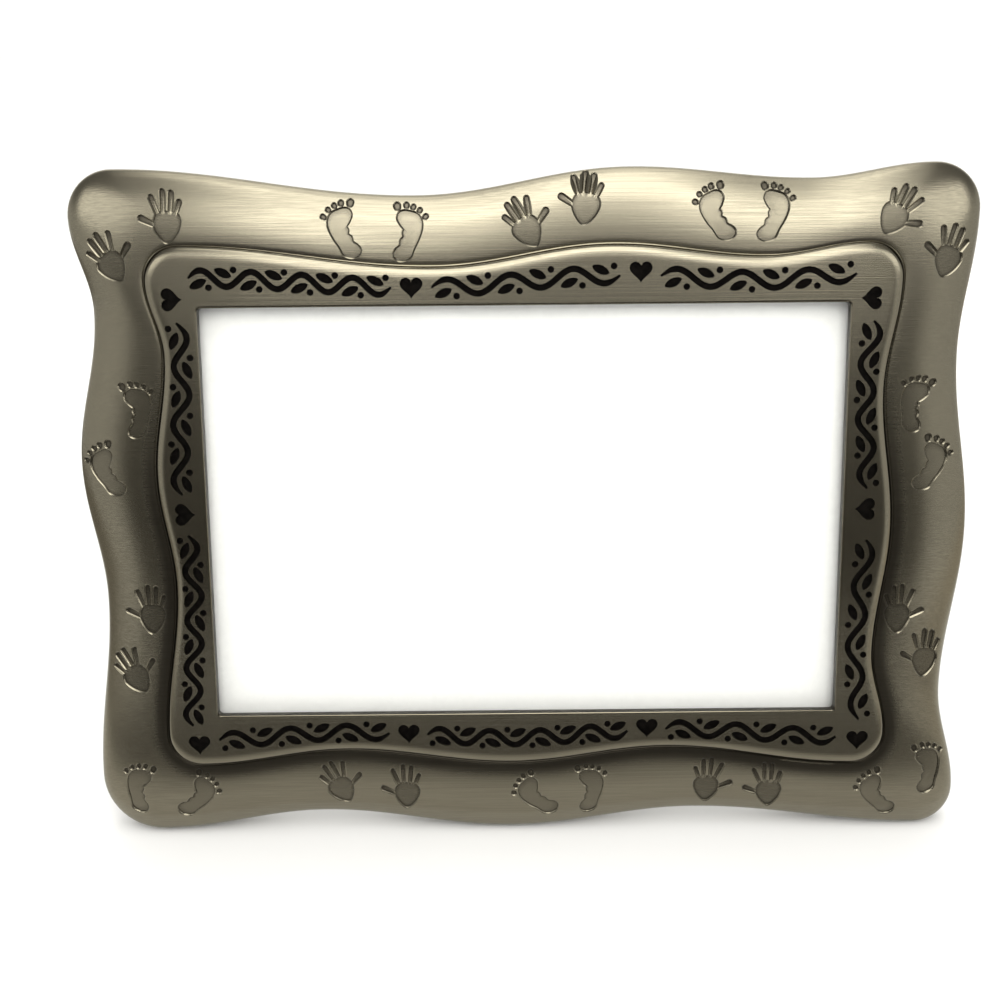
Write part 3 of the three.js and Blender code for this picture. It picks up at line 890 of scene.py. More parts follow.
# %% Cut the running vine
STEM_HALF_WIDTH = 0.58
STEM_SWING = 1.75
STEM_WAVE = 12.5
STEM_STATIONS_EACH = 14
TAPER_START = 1.5
TAPER_STATIONS = 7
LEAF_LENGTH = 3.9
LEAF_WIDTH = 1.7
LEAF_TILT = 24
LEAF_EARLY = 0.12
LEAF_SHARE = 0.72
BERRY_RADIUS = 0.62
BERRY_STEPS = 14
BERRY_LATE = 0.3
BERRY_SHARE = 1.15
HOLLOW_SHIFT = 1.75
VINES = [
    (TOP, -74.5, -29.5),
    (TOP, -20.5, 21.5),
    (TOP, 30.5, 74.0),
    (RIGHT, -43.5, -5.5),
    (RIGHT, 6.5, 50.0),
    (BOTTOM, -73.5, -33.0),
    (BOTTOM, -24.0, 23.5),
    (BOTTOM, 32.5, 73.0),
    (LEFT, -50.0, -4.0),
    (LEFT, 5.5, 44.5),
]


def rim_reach(side, along):
    """How far out the rim is at a place along a side."""
    stops = stops_of(SIDES.index(side), lambda side: side.rim, lambda side: RIM_CORNER)
    for here in range(len(stops) - 1):
        if along <= stops[here + 1]:
            share = max(0, (along - stops[here]) / (stops[here + 1] - stops[here]))
            return between(side.rim[here], side.rim[here + 1], eased(share))
    return side.rim[-1]


def on_band(side, along, shift):
    """A point of the drawing at a place along a side, shifted out from the liner's middle line."""
    return side.point(along, (side.half + rim_reach(side, along)) / 2 + shift)


def stem_bar(tool, path):
    """One bar along a path, narrow at both ends, with the lip of a plug."""
    heights = [-share * HEART_DEPTH for share in WALL_ROWS] + [CLEAR]
    rings = []
    for index, spot in enumerate(path):
        run = path[min(index + 1, len(path) - 1)] - path[max(index - 1, 0)]
        across = Vector((run.y, -run.x)).normalized()
        taper = min(1, (min(index, len(path) - 1 - index) + TAPER_START) / TAPER_STATIONS)
        ring = []
        for way, rows in ((-1, heights[::-1]), (1, heights)):
            for height in rows:
                flare = ENAMEL_LIP * (1 + height / HEART_DEPTH) ** 2
                side_spot = spot + across * way * (STEM_HALF_WIDTH * taper + flare)
                ring.append(Vector((side_spot.x, -height, side_spot.y)))
        rings.append(ring)
    board = bmesh.new()
    bar_loft(board, rings)
    bmesh.ops.triangulate(board, faces=[face for face in board.faces if len(face.verts) > 4])
    for face in board.faces:
        deepest = max(vertex.co.y for vertex in face.verts)
        below_lip = deepest > JUST_PAST * LIP_SHARE * HEART_DEPTH
        face.material_index = ENAMEL_SLOT if below_lip else PRESSED_SLOT
    add_board(tool, board)


def leaf_loop(steps=18):
    """A leaf that is pointed at both ends."""
    loop = []
    for step in range(steps):
        t = 2 * math.pi * step / steps
        swell = math.sin(t) * abs(math.sin(t)) ** 0.5
        loop.append(Vector((LEAF_LENGTH / 2 * math.cos(t), LEAF_WIDTH / 2 * swell)))
    return loop


def vine(tool, side, start, end):
    swings = 2 * max(1, round((end - start) / STEM_WAVE))
    stations = swings * STEM_STATIONS_EACH
    path = []
    for station in range(stations + 1):
        share = station / stations
        shift = STEM_SWING * math.sin(HALF_TURN * swings * share)
        path.append(on_band(side, between(start, end, share), shift))
    stem_bar(tool, path)
    heading = math.degrees(math.atan2(side.along.y, side.along.x))
    for swing in range(swings):
        up = 1 if swing % 2 == 0 else -1
        middle = between(start, end, (swing + 0.5) / swings)
        spread = (end - start) / swings
        leaf_spot = on_band(side, middle - LEAF_EARLY * spread, -up * HOLLOW_SHIFT * LEAF_SHARE)
        leaf = turned(leaf_loop(), up * -LEAF_TILT - heading, False, leaf_spot)
        plug(tool, leaf, leaf_spot, HEART_DEPTH, ENAMEL_LIP, ENAMEL_SLOT)
        berry_spot = on_band(side, middle + BERRY_LATE * spread, -up * HOLLOW_SHIFT * BERRY_SHARE)
        berry = turned(circle_points(BERRY_RADIUS, BERRY_STEPS), 0, False, berry_spot)
        plug(tool, berry, berry_spot, HEART_DEPTH, ENAMEL_LIP, ENAMEL_SLOT)


for side, start, end in VINES:
    vine(cutters, side, start, end)
print("vines:", len(VINES), "cutter faces now:", len(cutters.faces))

# %% [markdown]
# ## Bosses, screw holes and feet
# Four bosses behind the liner take the screws of the turn buttons. They are joined to the casting before
# the cutting, and their holes are cut with everything else. So is the ground: a block below it trims the
# three lowest waves, and the frame stands on the flats.

# %% Carve the casting
BUTTON_SPREAD = 42
BOSS_HEIGHT = 54.8
BOSS_RADIUS = 2.9
BOSS_FRONT = 1.6
SCREW_HOLE = 1.3
SCREW_TIP = 4.6
CORNERS = {"top_left": (-1, 1), "top_right": (1, 1), "bottom_left": (-1, -1), "bottom_right": (1, -1)}


def rod(board, radius, front, back, x, z, segments=32):
    """A round bar from front to back."""
    place = Matrix.Translation((x, (front + back) / 2, z)) @ Matrix.Rotation(HALF_TURN / 2, 4, "X")
    sizes = {"radius1": radius, "radius2": radius, "depth": back - front}
    bmesh.ops.create_cone(board, cap_ends=True, segments=segments, matrix=place, **sizes)


bosses = bmesh.new()
for across, up in CORNERS.values():
    rod(bosses, BOSS_RADIUS, BOSS_FRONT, POCKET_BACK, across * BUTTON_SPREAD, up * BOSS_HEIGHT)
    rod(cutters, SCREW_HOLE, SCREW_TIP, CASTING_BACK, across * BUTTON_SPREAD, up * BOSS_HEIGHT)
GROUND_SIZE = 0.5
ground_place = LEANING.inverted() @ Matrix.Translation((0, 0, -GROUND_SIZE / 2))
bmesh.ops.create_cube(cutters, size=GROUND_SIZE, matrix=ground_place)
carve(casting, to_object(bosses, "bosses", [PEWTER]), "UNION")
plain_count = len(casting.data.polygons)
for tool in cutter_sets:
    carve(casting, to_object(tool, "cutters", [PEWTER, ENAMEL, PRESSED]), "DIFFERENCE")
print("casting faces:", plain_count, "before the cutting and", len(casting.data.polygons), "after")

# %% [markdown]
# ## Where the dark wash stays
# The wash is wiped off what stands proud. It stays beside the liner, on the opening's wall, in the corners of
# each print and, more thinly, on the floors of the prints. On the upper rail it is made thinner: painted
# light, as the top faces the lamps. A vertex cut by a plug finds its value from the plug's own vertices. Any
# other vertex has a value from its distance to the liner's rim, if it lies outside it. At the end the edges
# round the marking finish are made sharp, and its faces become plain metal.

# %% Give every vertex its wash
OPENING_DARK = 0.9
WASH_FULL = 1.8
WASH_GONE = 6.0
WASH_STRENGTH = 0.88
TOP_PAINTED_LIGHTER = 0.9
BEHIND = 5.0
SAME_SPOT = 0.02
WALL_X = OPENING_WIDTH / 2 + SAME_SPOT
WALL_Z = OPENING_HEIGHT / 2 + SAME_SPOT


def tree_of(points):
    tree = KDTree(len(points))
    for index, point in enumerate(points):
        tree.insert(point, index)
    tree.balance()
    return tree


mark_tree = tree_of([place for place, dark in wash_marks])
rim_tree = tree_of([Vector((point.x, 0, point.y)) for point in rim_line])
patina_and_top_light_layer = casting.data.attributes.new("patina_and_top_light", "FLOAT", "POINT")
for vertex in casting.data.vertices:
    spot = vertex.co
    _, index, distance = rim_tree.find(Vector((spot.x, 0, spot.z)))
    outside = Vector((spot.x, spot.z)) - rim_line[index]
    dark = 0.0
    if outside.dot(outward[index]) > 0 and spot.y < BEHIND:
        share = min(1, max(0, (distance - WASH_FULL) / (WASH_GONE - WASH_FULL)))
        # painted light: the wash is made thinner on the upper rail, which faces the lamps, so the top reads
        # lighter
        top_painted_light = TOP_PAINTED_LIGHTER * max(0, outward[index].normalized().y)
        dark = WASH_STRENGTH * (1 - top_painted_light) * (1 - eased(share))
    if abs(spot.x) < WALL_X and abs(spot.z) < WALL_Z:
        dark = OPENING_DARK
    _, mark_index, mark_distance = mark_tree.find(spot)
    if mark_distance < SAME_SPOT:
        dark = max(dark, wash_marks[mark_index][1])
    patina_and_top_light_layer.data[vertex.index].value = dark
settle(casting, "frame", "frame_casting")
edge_board = bmesh.new()
edge_board.from_mesh(casting.data)
for edge in edge_board.edges:
    if {face.material_index for face in edge.link_faces} == {METAL_SLOT, PRESSED_SLOT}:
        edge.smooth = False
for face in edge_board.faces:
    if face.material_index == PRESSED_SLOT:
        face.material_index = METAL_SLOT
edge_board.to_mesh(casting.data)
edge_board.free()
casting.data.materials.pop(index=PRESSED_SLOT)
bpy.data.materials.remove(PRESSED)
print("casting finishes:", [finish.name for finish in casting.data.materials])

# %% [markdown]
# ## Finishes for what lies behind
# Glass lets nearly all light through, so it is almost clear, with a faint smear. The card is white paper.
# Hardboard is brown and flecked. Velvet is black flock, and its nap catches a little light at the edges. The
# small metal pieces share one recipe: a colour that varies a little along fine scratches.


# %% Glass, paper, hardboard, velvet and small metal
def glass_finish():
    finish = new_finish("clear_glass")
    smear = finish.noise((40, 40, 90), 3.0)
    return finish.surface(
        Base_Color=(0.92, 0.96, 0.95, 1),
        Roughness=0.02 + 0.06 * smear,
        Alpha=0.05 + 0.05 * smear,
    )


def paper_finish():
    finish = new_finish("white_paper")
    fibre = finish.noise((700, 700, 700), 4.0, 0.7)
    tint = finish.mix(finish.span(fibre, 0.3, 0.7), (0.9, 0.9, 0.89, 1), (0.95, 0.95, 0.94, 1))
    return finish.surface(Base_Color=tint, Roughness=0.8 + 0.1 * fibre, Normal=finish.bump(fibre, 0.00002))


def hardboard_finish():
    finish = new_finish("brown_hardboard")
    fleck = finish.noise((1400, 1400, 1400), 4.0, 0.75)
    cloud = finish.noise((60, 60, 60), 2.0)
    tint = finish.mix(finish.span(fleck, 0.35, 0.65), (0.045, 0.024, 0.011, 1), (0.12, 0.07, 0.035, 1))
    return finish.surface(Base_Color=tint, Roughness=0.75 + 0.15 * cloud, Normal=finish.bump(fleck, 0.00008))


def velvet_finish():
    finish = new_finish("black_velvet")
    nap = finish.noise((3000, 3000, 3000), 3.0, 0.7)
    brushed = finish.noise((45, 45, 45), 3.0, 0.6)
    tint = finish.mix(finish.span(brushed, 0.35, 0.65), (0.004, 0.004, 0.0042, 1), (0.012, 0.012, 0.0125, 1))
    return finish.surface(
        Base_Color=tint,
        Roughness=0.85 + 0.1 * nap,
        Normal=finish.bump(nap, 0.0002),
        Specular_IOR_Level=0.15,
        Sheen_Weight=0.25,
        Sheen_Roughness=0.45,
    )


def metal_finish(name, dark, light, roughness):
    finish = new_finish(name)
    scratch = finish.noise((160, 2600, 900), 3.0, 0.6)
    dull = finish.noise((220, 220, 220), 3.0, 0.6)
    tint = finish.mix(finish.span(0.5 * scratch + 0.5 * dull, 0.35, 0.65), dark, light)
    return finish.surface(
        Base_Color=tint,
        Metallic=1.0,
        Roughness=roughness + 0.18 * dull,
        Normal=finish.bump(scratch, 0.00003),
    )


GLASS = glass_finish()
PAPER = paper_finish()
HARDBOARD = hardboard_finish()
VELVET = velvet_finish()
STEEL = metal_finish("plated_steel", (0.45, 0.44, 0.41, 1), (0.62, 0.6, 0.55, 1), 0.22)
ZINC = metal_finish("zinc_screw", (0.5, 0.5, 0.47, 1), (0.68, 0.67, 0.63, 1), 0.2)
BRASS = metal_finish("brass_rivet", (0.42, 0.31, 0.12, 1), (0.6, 0.46, 0.2, 1), 0.24)
print("finishes:", len(bpy.data.materials))

# %% [markdown]
# ## Glass, card and board
# These are flat and square, so each is a stretched cube with its edges eased: ground glass edges, a cut card,
# a sanded board. The board has two holes for the rivets of the hinge plate.

# %% Flat sheets in the pocket
PHOTO_WIDTH = 152.4
PHOTO_HEIGHT = 101.6
GLASS_FRONT, GLASS_BACK = 2.4, 4.4
CARD_FRONT, CARD_BACK = 4.6, 5.0
BOARD_FRONT, BOARD_BACK = 5.2, 7.7
GLASS_EASE = 0.3
CARD_EASE = 0.06
BOARD_EASE = 0.3
VELVET_WRAP = 0.8
RIVET_HOLE = 1.2
BASE_RIVETS = {"left": -8, "right": 8}
BASE_RIVET_HEIGHT = 37


def slab(width, height, front, back, edge):
    """A flat sheet with eased edges."""
    board = bmesh.new()
    size = Matrix.Diagonal((width, back - front, height, 1))
    bmesh.ops.create_cube(board, size=1, matrix=Matrix.Translation((0, (front + back) / 2, 0)) @ size)
    ease = {"offset": edge, "offset_type": "OFFSET", "affect": "EDGES", "segments": 2, "profile": 0.5}
    bmesh.ops.bevel(board, geom=board.edges[:], material=-1, **ease)
    return board


def rivet_holes(spots, front, back):
    """A tool that drills rivet holes from front to back at (x, z)."""
    tool = bmesh.new()
    for x, z in spots:
        rod(tool, RIVET_HOLE, front, back, x, z)
    return to_object(tool, "drill", [PEWTER])


base_spots = [(x, BASE_RIVET_HEIGHT) for x in BASE_RIVETS.values()]
glass = to_object(slab(PHOTO_WIDTH, PHOTO_HEIGHT, GLASS_FRONT, GLASS_BACK, GLASS_EASE), "glass", [GLASS])
settle(glass, "frame", "glass_pane")
card = to_object(slab(PHOTO_WIDTH, PHOTO_HEIGHT, CARD_FRONT, CARD_BACK, CARD_EASE), "card", [PAPER])
settle(card, "frame", "photo_insert")
board_size = PHOTO_WIDTH - 2 * VELVET_WRAP, PHOTO_HEIGHT - 2 * VELVET_WRAP
panel = to_object(slab(*board_size, BOARD_FRONT, BOARD_BACK, BOARD_EASE), "panel", [HARDBOARD])
carve(panel, rivet_holes(base_spots, 0, PIN_DEPTH), "DIFFERENCE")
settle(panel, "frame", "backing_board")

# %% [markdown]
# ## Velvet over the panel
# The flocked cloth is glued over the panel's back and turned round its four edges. It is a thin shell: rings
# go from the middle of the back out to the edge, forward along the sides, in by the cloth's thickness, and
# back again inside. The turn at the edge is round, as cloth cannot fold sharply over a board.

# %% The panel's velvet
VELVET_THICKNESS = 0.6
VELVET_BACK = 8.5
VELVET_FRONT = VELVET_BACK - VELVET_THICKNESS
VELVET_TURN = 0.9
VELVET_MIDDLE = 20
VELVET_NIP = 0.15
VELVET_CREASE = 0.3
TURN_STEPS = 5


def velvet_rows():
    """Insets from the panel's edge with depths, over the back, round the edge and back inside."""
    rows = [(VELVET_MIDDLE, VELVET_BACK)]
    for turn in quarter_turns(TURN_STEPS):
        sunk = VELVET_BACK - VELVET_TURN * (1 - math.cos(turn))
        rows.append((VELVET_TURN * (1 - math.sin(turn)), sunk))
    rows += [(0, BOARD_FRONT + VELVET_NIP), (VELVET_NIP, BOARD_FRONT), (VELVET_THICKNESS, BOARD_FRONT)]
    rows.append((VELVET_THICKNESS, VELVET_FRONT - VELVET_CREASE))
    rows += [(VELVET_TURN, VELVET_FRONT), (VELVET_MIDDLE, VELVET_FRONT)]
    return rows


velvet_board = bmesh.new()
velvet_rings = []
for inset, depth in velvet_rows():
    line = rectangle(PHOTO_WIDTH - 2 * inset, PHOTO_HEIGHT - 2 * inset, OPENING_CORNER)
    velvet_rings.append(at_depth(line, depth))
bar_loft(velvet_board, velvet_rings)
velvet = to_object(velvet_board, "panel_velvet", [VELVET])
carve(velvet, rivet_holes(base_spots, 0, PIN_DEPTH), "DIFFERENCE")
settle(velvet, "frame", "backing_velvet")

# %% [markdown]
# ## Turn buttons and their screws
# A button is a stamped tongue with round ends and a hole near one of them. Its outline and its hole have the
# same number of points, so it is a closed loft like the casting. A screw is turned: its profile is spun
# about its axis, and a cross is cut into the head with two bars.

# %% Buttons
BUTTON_FRONT, BUTTON_BACK = 8.8, 9.6
BUTTON_HALF = 3.5
BUTTON_REACH = 8.3
BUTTON_EDGE = 0.15
FINE_STEPS = 48


def tongue_points(steps):
    """A stadium from the screw's end down to the tip, starting at the right like the hole."""
    points = []
    for point in circle_points(BUTTON_HALF, steps):
        down = 0 if point.y >= 0 else BUTTON_HALF - BUTTON_REACH
        points.append(point + Vector((0, down)))
    return points


def washer(hole, outer, front, back, edge):
    """A flat piece with a hole, its four edges eased. Both outlines have the same number of points."""
    rows = [(hole, edge, front), (hole, 0, front + edge), (hole, 0, back - edge), (hole, edge, back)]
    rows += [(outer, -edge, back), (outer, 0, back - edge), (outer, 0, front + edge), (outer, -edge, front)]
    board = bmesh.new()
    closed_loft(board, [at_depth(grown(points, grow), depth) for points, grow, depth in rows])
    return board


for corner, (across, up) in CORNERS.items():
    hole = circle_points(SCREW_HOLE, FINE_STEPS)
    button_board = washer(hole, tongue_points(FINE_STEPS), BUTTON_FRONT, BUTTON_BACK, BUTTON_EDGE)
    spot = Matrix.Translation((across * BUTTON_SPREAD, 0, up * BOSS_HEIGHT))
    over = spot @ Matrix.Rotation(0 if up > 0 else HALF_TURN, 4, "Y")
    button = to_object(button_board, "button_" + corner, [STEEL])
    settle(button, "button_" + corner, "turn_button_" + corner, LEANING @ over)

# %% Screws
SCREW_HEAD_FRONT = 9.8
SCREW_HEAD_BACK = 11.2
SLOT_LENGTH = 3.2
SLOT_WIDTH = 0.7
SLOT_DEPTH = 0.6
FIRST_STOP = 20
STOP_STEP = 65
SCREW_SHANK = [(0, 4.8), (0.5, 4.8), (1.0, 5.5), (1.1, 5.8), (1.1, SCREW_HEAD_FRONT), (2.6, SCREW_HEAD_FRONT)]
SCREW_HEAD = [(2.78, 9.93), (2.8, 10.5), (2.7, 10.82), (2.45, 11.04), (2.05, 11.16), (1.4, SCREW_HEAD_BACK)]


def slot_tool(turn):
    """A bar for one arm of the cross."""
    board = bmesh.new()
    size = Matrix.Diagonal((SLOT_LENGTH, 2 * SLOT_DEPTH, SLOT_WIDTH, 1))
    place = Matrix.Translation((0, SCREW_HEAD_BACK, 0)) @ Matrix.Rotation(turn, 4, "Y") @ size
    bmesh.ops.create_cube(board, size=1, matrix=place)
    return to_object(board, "slot", [ZINC])


for number, (corner, (across, up)) in enumerate(CORNERS.items()):
    screw_board = spun(SCREW_SHANK + SCREW_HEAD + [(0, SCREW_HEAD_BACK)], FINE_STEPS)
    screw = to_object(screw_board, "screw_" + corner, [ZINC])
    stop_angle = math.radians(FIRST_STOP + STOP_STEP * number)
    for turn in (stop_angle, stop_angle + HALF_TURN / 2):
        carve(screw, slot_tool(turn), "DIFFERENCE")
    spot = Matrix.Translation((across * BUTTON_SPREAD, 0, up * BOSS_HEIGHT))
    settle(screw, "frame", "turn_screw_" + corner, LEANING @ spot)

# %% [markdown]
# ## The hinge
# A plate with two ears is riveted to the panel, and a pin goes through the ears. The leg's leaf has a barrel
# on that pin and a tail that lies on the plate when the leg is open, which is what stops it. Plate and leaf
# are flat outlines lofted with eased edges, ears and barrel are washers laid across, and they are joined.

# %% Hinge plate, pin and rivets
PLATE_FRONT, PLATE_BACK = 8.7, 9.5
PLATE_HALF = 12
PLATE_LOW, PLATE_HIGH = 25.6, 43
EAR_RADIUS = 2.4
EAR_FOOT = 2.5
EAR_SPREAD = 6
EAR_THICKNESS = 1
PIN_BORE = 1.2
PIN_RADIUS = 1
PIN_REACH = 7.1
PIN_EASE = 0.3
PIN_STEPS = 32
HINGE_EDGE = 0.15
ROUND_EDGE = 0.1
PLATE_CORNER = 1.4
EAR_STEPS = 64
DOME_STEPS = 6
NEARLY_NOTHING = 0.001
RIVET_RADIUS = 1
RIVET_HEAD = 1.8
RIVET_RISE = 0.6
ACROSS = Matrix.Rotation(-HALF_TURN / 2, 4, "Z")


def rounded_box(left, right, low, high, corner, steps=6):
    """A rectangle with round corners, anticlockwise from the lower right."""
    points = []
    centres = [(right - corner, low + corner), (right - corner, high - corner)]
    centres += [(left + corner, high - corner), (left + corner, low + corner)]
    for quarter, centre in enumerate(centres):
        for step in range(steps + 1):
            turn = HALF_TURN / 2 * (quarter - 1 + step / steps)
            points.append(Vector(centre) + toward(turn) * corner)
    return points


def flat_plate(points, front, back, edge):
    rows = [(-edge, front), (0, front + edge), (0, back - edge), (-edge, back)]
    board = bmesh.new()
    bar_loft(board, [at_depth(grown(points, grow), depth) for grow, depth in rows])
    return board


def ear_points(steps):
    """Round towards the back and square towards the plate, as seen along the pin."""
    points = []
    for point in circle_points(1, steps):
        reach = EAR_RADIUS
        if point.x < 0:
            reach = min(EAR_RADIUS / max(abs(point.y), NEARLY_NOTHING), EAR_FOOT / abs(point.x))
        points.append(point * reach)
    return points


plate_outline = rounded_box(-PLATE_HALF, PLATE_HALF, PLATE_LOW, PLATE_HIGH, PLATE_CORNER)
plate_board = flat_plate(plate_outline, PLATE_FRONT, PLATE_BACK, HINGE_EDGE)
hinge_plate = to_object(plate_board, "hinge_plate", [STEEL])
for side_of_pin in (-EAR_SPREAD, EAR_SPREAD):
    half = EAR_THICKNESS / 2
    ear_board = washer(circle_points(PIN_BORE, EAR_STEPS), ear_points(EAR_STEPS), -half, half, ROUND_EDGE)
    place = Matrix.Translation((side_of_pin, PIN_DEPTH, HINGE_HEIGHT)) @ ACROSS
    carve(hinge_plate, to_object(ear_board, "ear", [STEEL], place), "UNION")
carve(hinge_plate, rivet_holes(base_spots, 0, PIN_DEPTH), "DIFFERENCE")
settle(hinge_plate, "frame", "hinge_base")

pin_profile = [(0, -PIN_REACH), (PIN_RADIUS - PIN_EASE, -PIN_REACH), (PIN_RADIUS, -PIN_REACH + PIN_EASE)]
pin_profile += [(radius, -along) for radius, along in pin_profile[::-1]]
pin = to_object(spun(pin_profile, PIN_STEPS), "pin", [ZINC])
settle(pin, "frame", "hinge_pin", LEANING @ Matrix.Translation(pin_upright) @ ACROSS)


def rivet_profile(seat, tip, facing):
    """A shank from tip to seat, and a low dome beyond it."""
    profile = [(0, tip), (RIVET_RADIUS - ROUND_EDGE, tip)]
    profile += [(RIVET_RADIUS, tip + ROUND_EDGE * facing), (RIVET_RADIUS, seat)]
    for turn in quarter_turns(DOME_STEPS):
        profile.append((RIVET_HEAD * math.cos(turn), seat + facing * RIVET_RISE * math.sin(turn)))
    return profile


def add_rivet(name, profile, body, matrix):
    rivet = to_object(spun(profile, PIN_STEPS), name, [BRASS])
    settle(rivet, body, "hinge_" + name, matrix)


BASE_SEAT = 9.7
for name, x in BASE_RIVETS.items():
    rivet_at = LEANING @ Matrix.Translation((x, 0, BASE_RIVET_HEIGHT))
    add_rivet("base_rivet_" + name, rivet_profile(BASE_SEAT, BOARD_FRONT, 1), "frame", rivet_at)

# %% Hinge leaf and its rivets
LEAF_INNER, LEAF_OUTER = -1.9, -1.1
LEAF_HALF = 4.5
LEAF_LOW, LEAF_HIGH = -19, -0.6
LEAF_CORNER = 0.55
TAIL_HALF = 3
TAIL_LOW, TAIL_HIGH = 0.6, 6.5
BARREL_RADIUS = 1.9
BARREL_HALF = 5.3
LEG_INNER, LEG_OUTER = -0.9, 1.6
LEAF_SEAT = -2.1
LEAF_RIVETS = {"upper": -9, "lower": -15}

leaf_outline = rounded_box(-LEAF_HALF, LEAF_HALF, LEAF_LOW, LEAF_HIGH, LEAF_CORNER)
leaf = to_object(flat_plate(leaf_outline, LEAF_INNER, LEAF_OUTER, HINGE_EDGE), "leaf", [STEEL])
tail_outline = rounded_box(-TAIL_HALF, TAIL_HALF, TAIL_LOW, TAIL_HIGH, LEAF_CORNER)
tail_board = flat_plate(tail_outline, LEAF_INNER, LEAF_OUTER, HINGE_EDGE)
tail_turn = Matrix.Rotation(-LEG_OPEN, 4, "X")
barrel_bore, barrel_round = (circle_points(radius, FINE_STEPS) for radius in (PIN_BORE, BARREL_RADIUS))
barrel_board = washer(barrel_bore, barrel_round, -BARREL_HALF, BARREL_HALF, ROUND_EDGE)
carve(leaf, to_object(barrel_board, "barrel", [STEEL], ACROSS), "UNION")
carve(leaf, to_object(tail_board, "tail", [STEEL], tail_turn), "UNION")
leaf_spots = [(0, z) for z in LEAF_RIVETS.values()]
carve(leaf, rivet_holes(leaf_spots, 2 * LEAF_INNER, LEG_INNER), "DIFFERENCE")
settle(leaf, "easel_leg", "hinge_leaf", ON_LEG)
for name, z in LEAF_RIVETS.items():
    rivet_at = ON_LEG @ Matrix.Translation((0, 0, z))
    add_rivet("leaf_rivet_" + name, rivet_profile(LEAF_SEAT, LEG_OUTER, -1), "easel_leg", rivet_at)

# %% [markdown]
# ## The leg
# The leg is a tapered hardboard tongue with round upper corners and a foot cut level with the table. Its
# sections are lofted from the foot up. The velvet is a channel round the outer face and the long edges, so
# it is lofted through the same stations with a U for its section. The foot's slope comes from the leg's own
# matrix: it is where the height above the table is nothing.

# %% Leg board and leg velvet
LEG_TOP = 3.3
LEG_TOP_HALF = 13
LEG_FOOT_HALF = 20
LEG_CORNER = 5
LEG_CORNER_STEPS = 8
LEG_EASE = 0.25
CLOTH_EASE = 0.1
FOOT_ROOM = 6
STRAIGHT_STEPS = 4
SEAT_GAP = 0.2
foot_reach = pin_place.z / MM / math.cos(LEG_OPEN - LEAN)


def leg_stations():
    """Pairs of a height and how far the corner draws the side in, from just above the foot to the top."""
    low = -foot_reach + FOOT_ROOM
    high = -(LEG_TOP + LEG_CORNER)
    stations = [(between(low, high, step / STRAIGHT_STEPS), 0) for step in range(STRAIGHT_STEPS + 1)]
    for step in range(1, LEG_CORNER_STEPS + 1):
        t = step / LEG_CORNER_STEPS
        stations.append((-LEG_TOP - LEG_CORNER * (1 - t) ** 2, LEG_CORNER * t**2))
    return stations


def leg_half(z, spread):
    return between(LEG_TOP_HALF, LEG_FOOT_HALF, (-z - LEG_TOP) / (foot_reach - LEG_TOP)) + spread


def foot_height(y):
    """The height in the leg's own space where its face at y meets the table."""
    table = ON_LEG[2]
    return -(table[1] * y + table[3]) / table[2]


def leg_loft(section):
    """Lofts section(half width at a spread), a list of (x, y), from the foot to the top."""
    foot = section(lambda spread: leg_half(foot_height(0), spread))
    rings = [[Vector((x, y, foot_height(y))) for x, y in foot]]
    for z, drawn_in in leg_stations():
        line = section(lambda spread, z=z, drawn_in=drawn_in: leg_half(z, spread) - drawn_in)
        rings.append([Vector((x, y, z)) for x, y in line])
    board = bmesh.new()
    bar_loft(board, rings)
    return board


def board_section(half):
    wide = half(0)
    near, far = LEG_INNER, LEG_OUTER
    right = [(wide - LEG_EASE, near), (wide, near + LEG_EASE)]
    right += [(wide, far - LEG_EASE), (wide - LEG_EASE, far)]
    return right + [(-x, y) for x, y in right[::-1]]


def velvet_section(half):
    outer = half(VELVET_WRAP)
    inner = half(SEAT_GAP)
    back = LEG_OUTER + VELVET_WRAP
    right = [(inner, LEG_OUTER + SEAT_GAP), (inner, LEG_INNER)]
    right += [(outer - CLOTH_EASE, LEG_INNER), (outer, LEG_INNER + CLOTH_EASE)]
    for turn in quarter_turns(TURN_STEPS):
        reach = outer - VELVET_TURN * (1 - math.cos(turn))
        right.append((reach, back - VELVET_TURN * (1 - math.sin(turn))))
    return right + [(-x, y) for x, y in right[::-1]]


leg = to_object(leg_loft(board_section), "leg", [HARDBOARD])
carve(leg, rivet_holes(leaf_spots, 2 * LEG_INNER, 2 * LEG_OUTER), "DIFFERENCE")
settle(leg, "easel_leg", "leg_board", ON_LEG)
leg_cloth = to_object(leg_loft(velvet_section), "leg_cloth", [VELVET])
settle(leg_cloth, "easel_leg", "leg_velvet", ON_LEG)

# %% [markdown]
# ## Camera and light
# The four corners of the opening fix where the photo was taken from. A brushed metal shows whatever it faces:
# the top border faces the light, and the liner faces the dim front. So the front has a soft box and a glow
# above it, with a tall window on either side of a dim middle. There is a soft box to the left, one to the
# right and one overhead, white behind, and a pale floor. Four cards that only the metal sees are painted
# reflections: a dark one standing in front, a dark one on the floor before the frame that pales near it, and
# a grey and a light one on the floor to the sides.

# %% Camera
LENS = 41.898
SENSOR_WIDTH = 36
NEAREST = 0.01
CAMERA_PLACE = (-0.005906, -0.260872, 0.185141)
CAMERA_TURN = (67.1845, 0.5385, -0.1804)
camera_data = bpy.data.cameras.new("camera")
camera_data.lens = LENS
camera_data.sensor_width = SENSOR_WIDTH
camera_data.clip_start = NEAREST
camera = bpy.data.objects.new("camera", camera_data)
camera.location = CAMERA_PLACE
camera.rotation_euler = [math.radians(angle) for angle in CAMERA_TURN]
scene.collection.objects.link(camera)
scene.camera = camera
scene.view_settings.view_transform = "Standard"
print("camera at", tuple(camera.location))

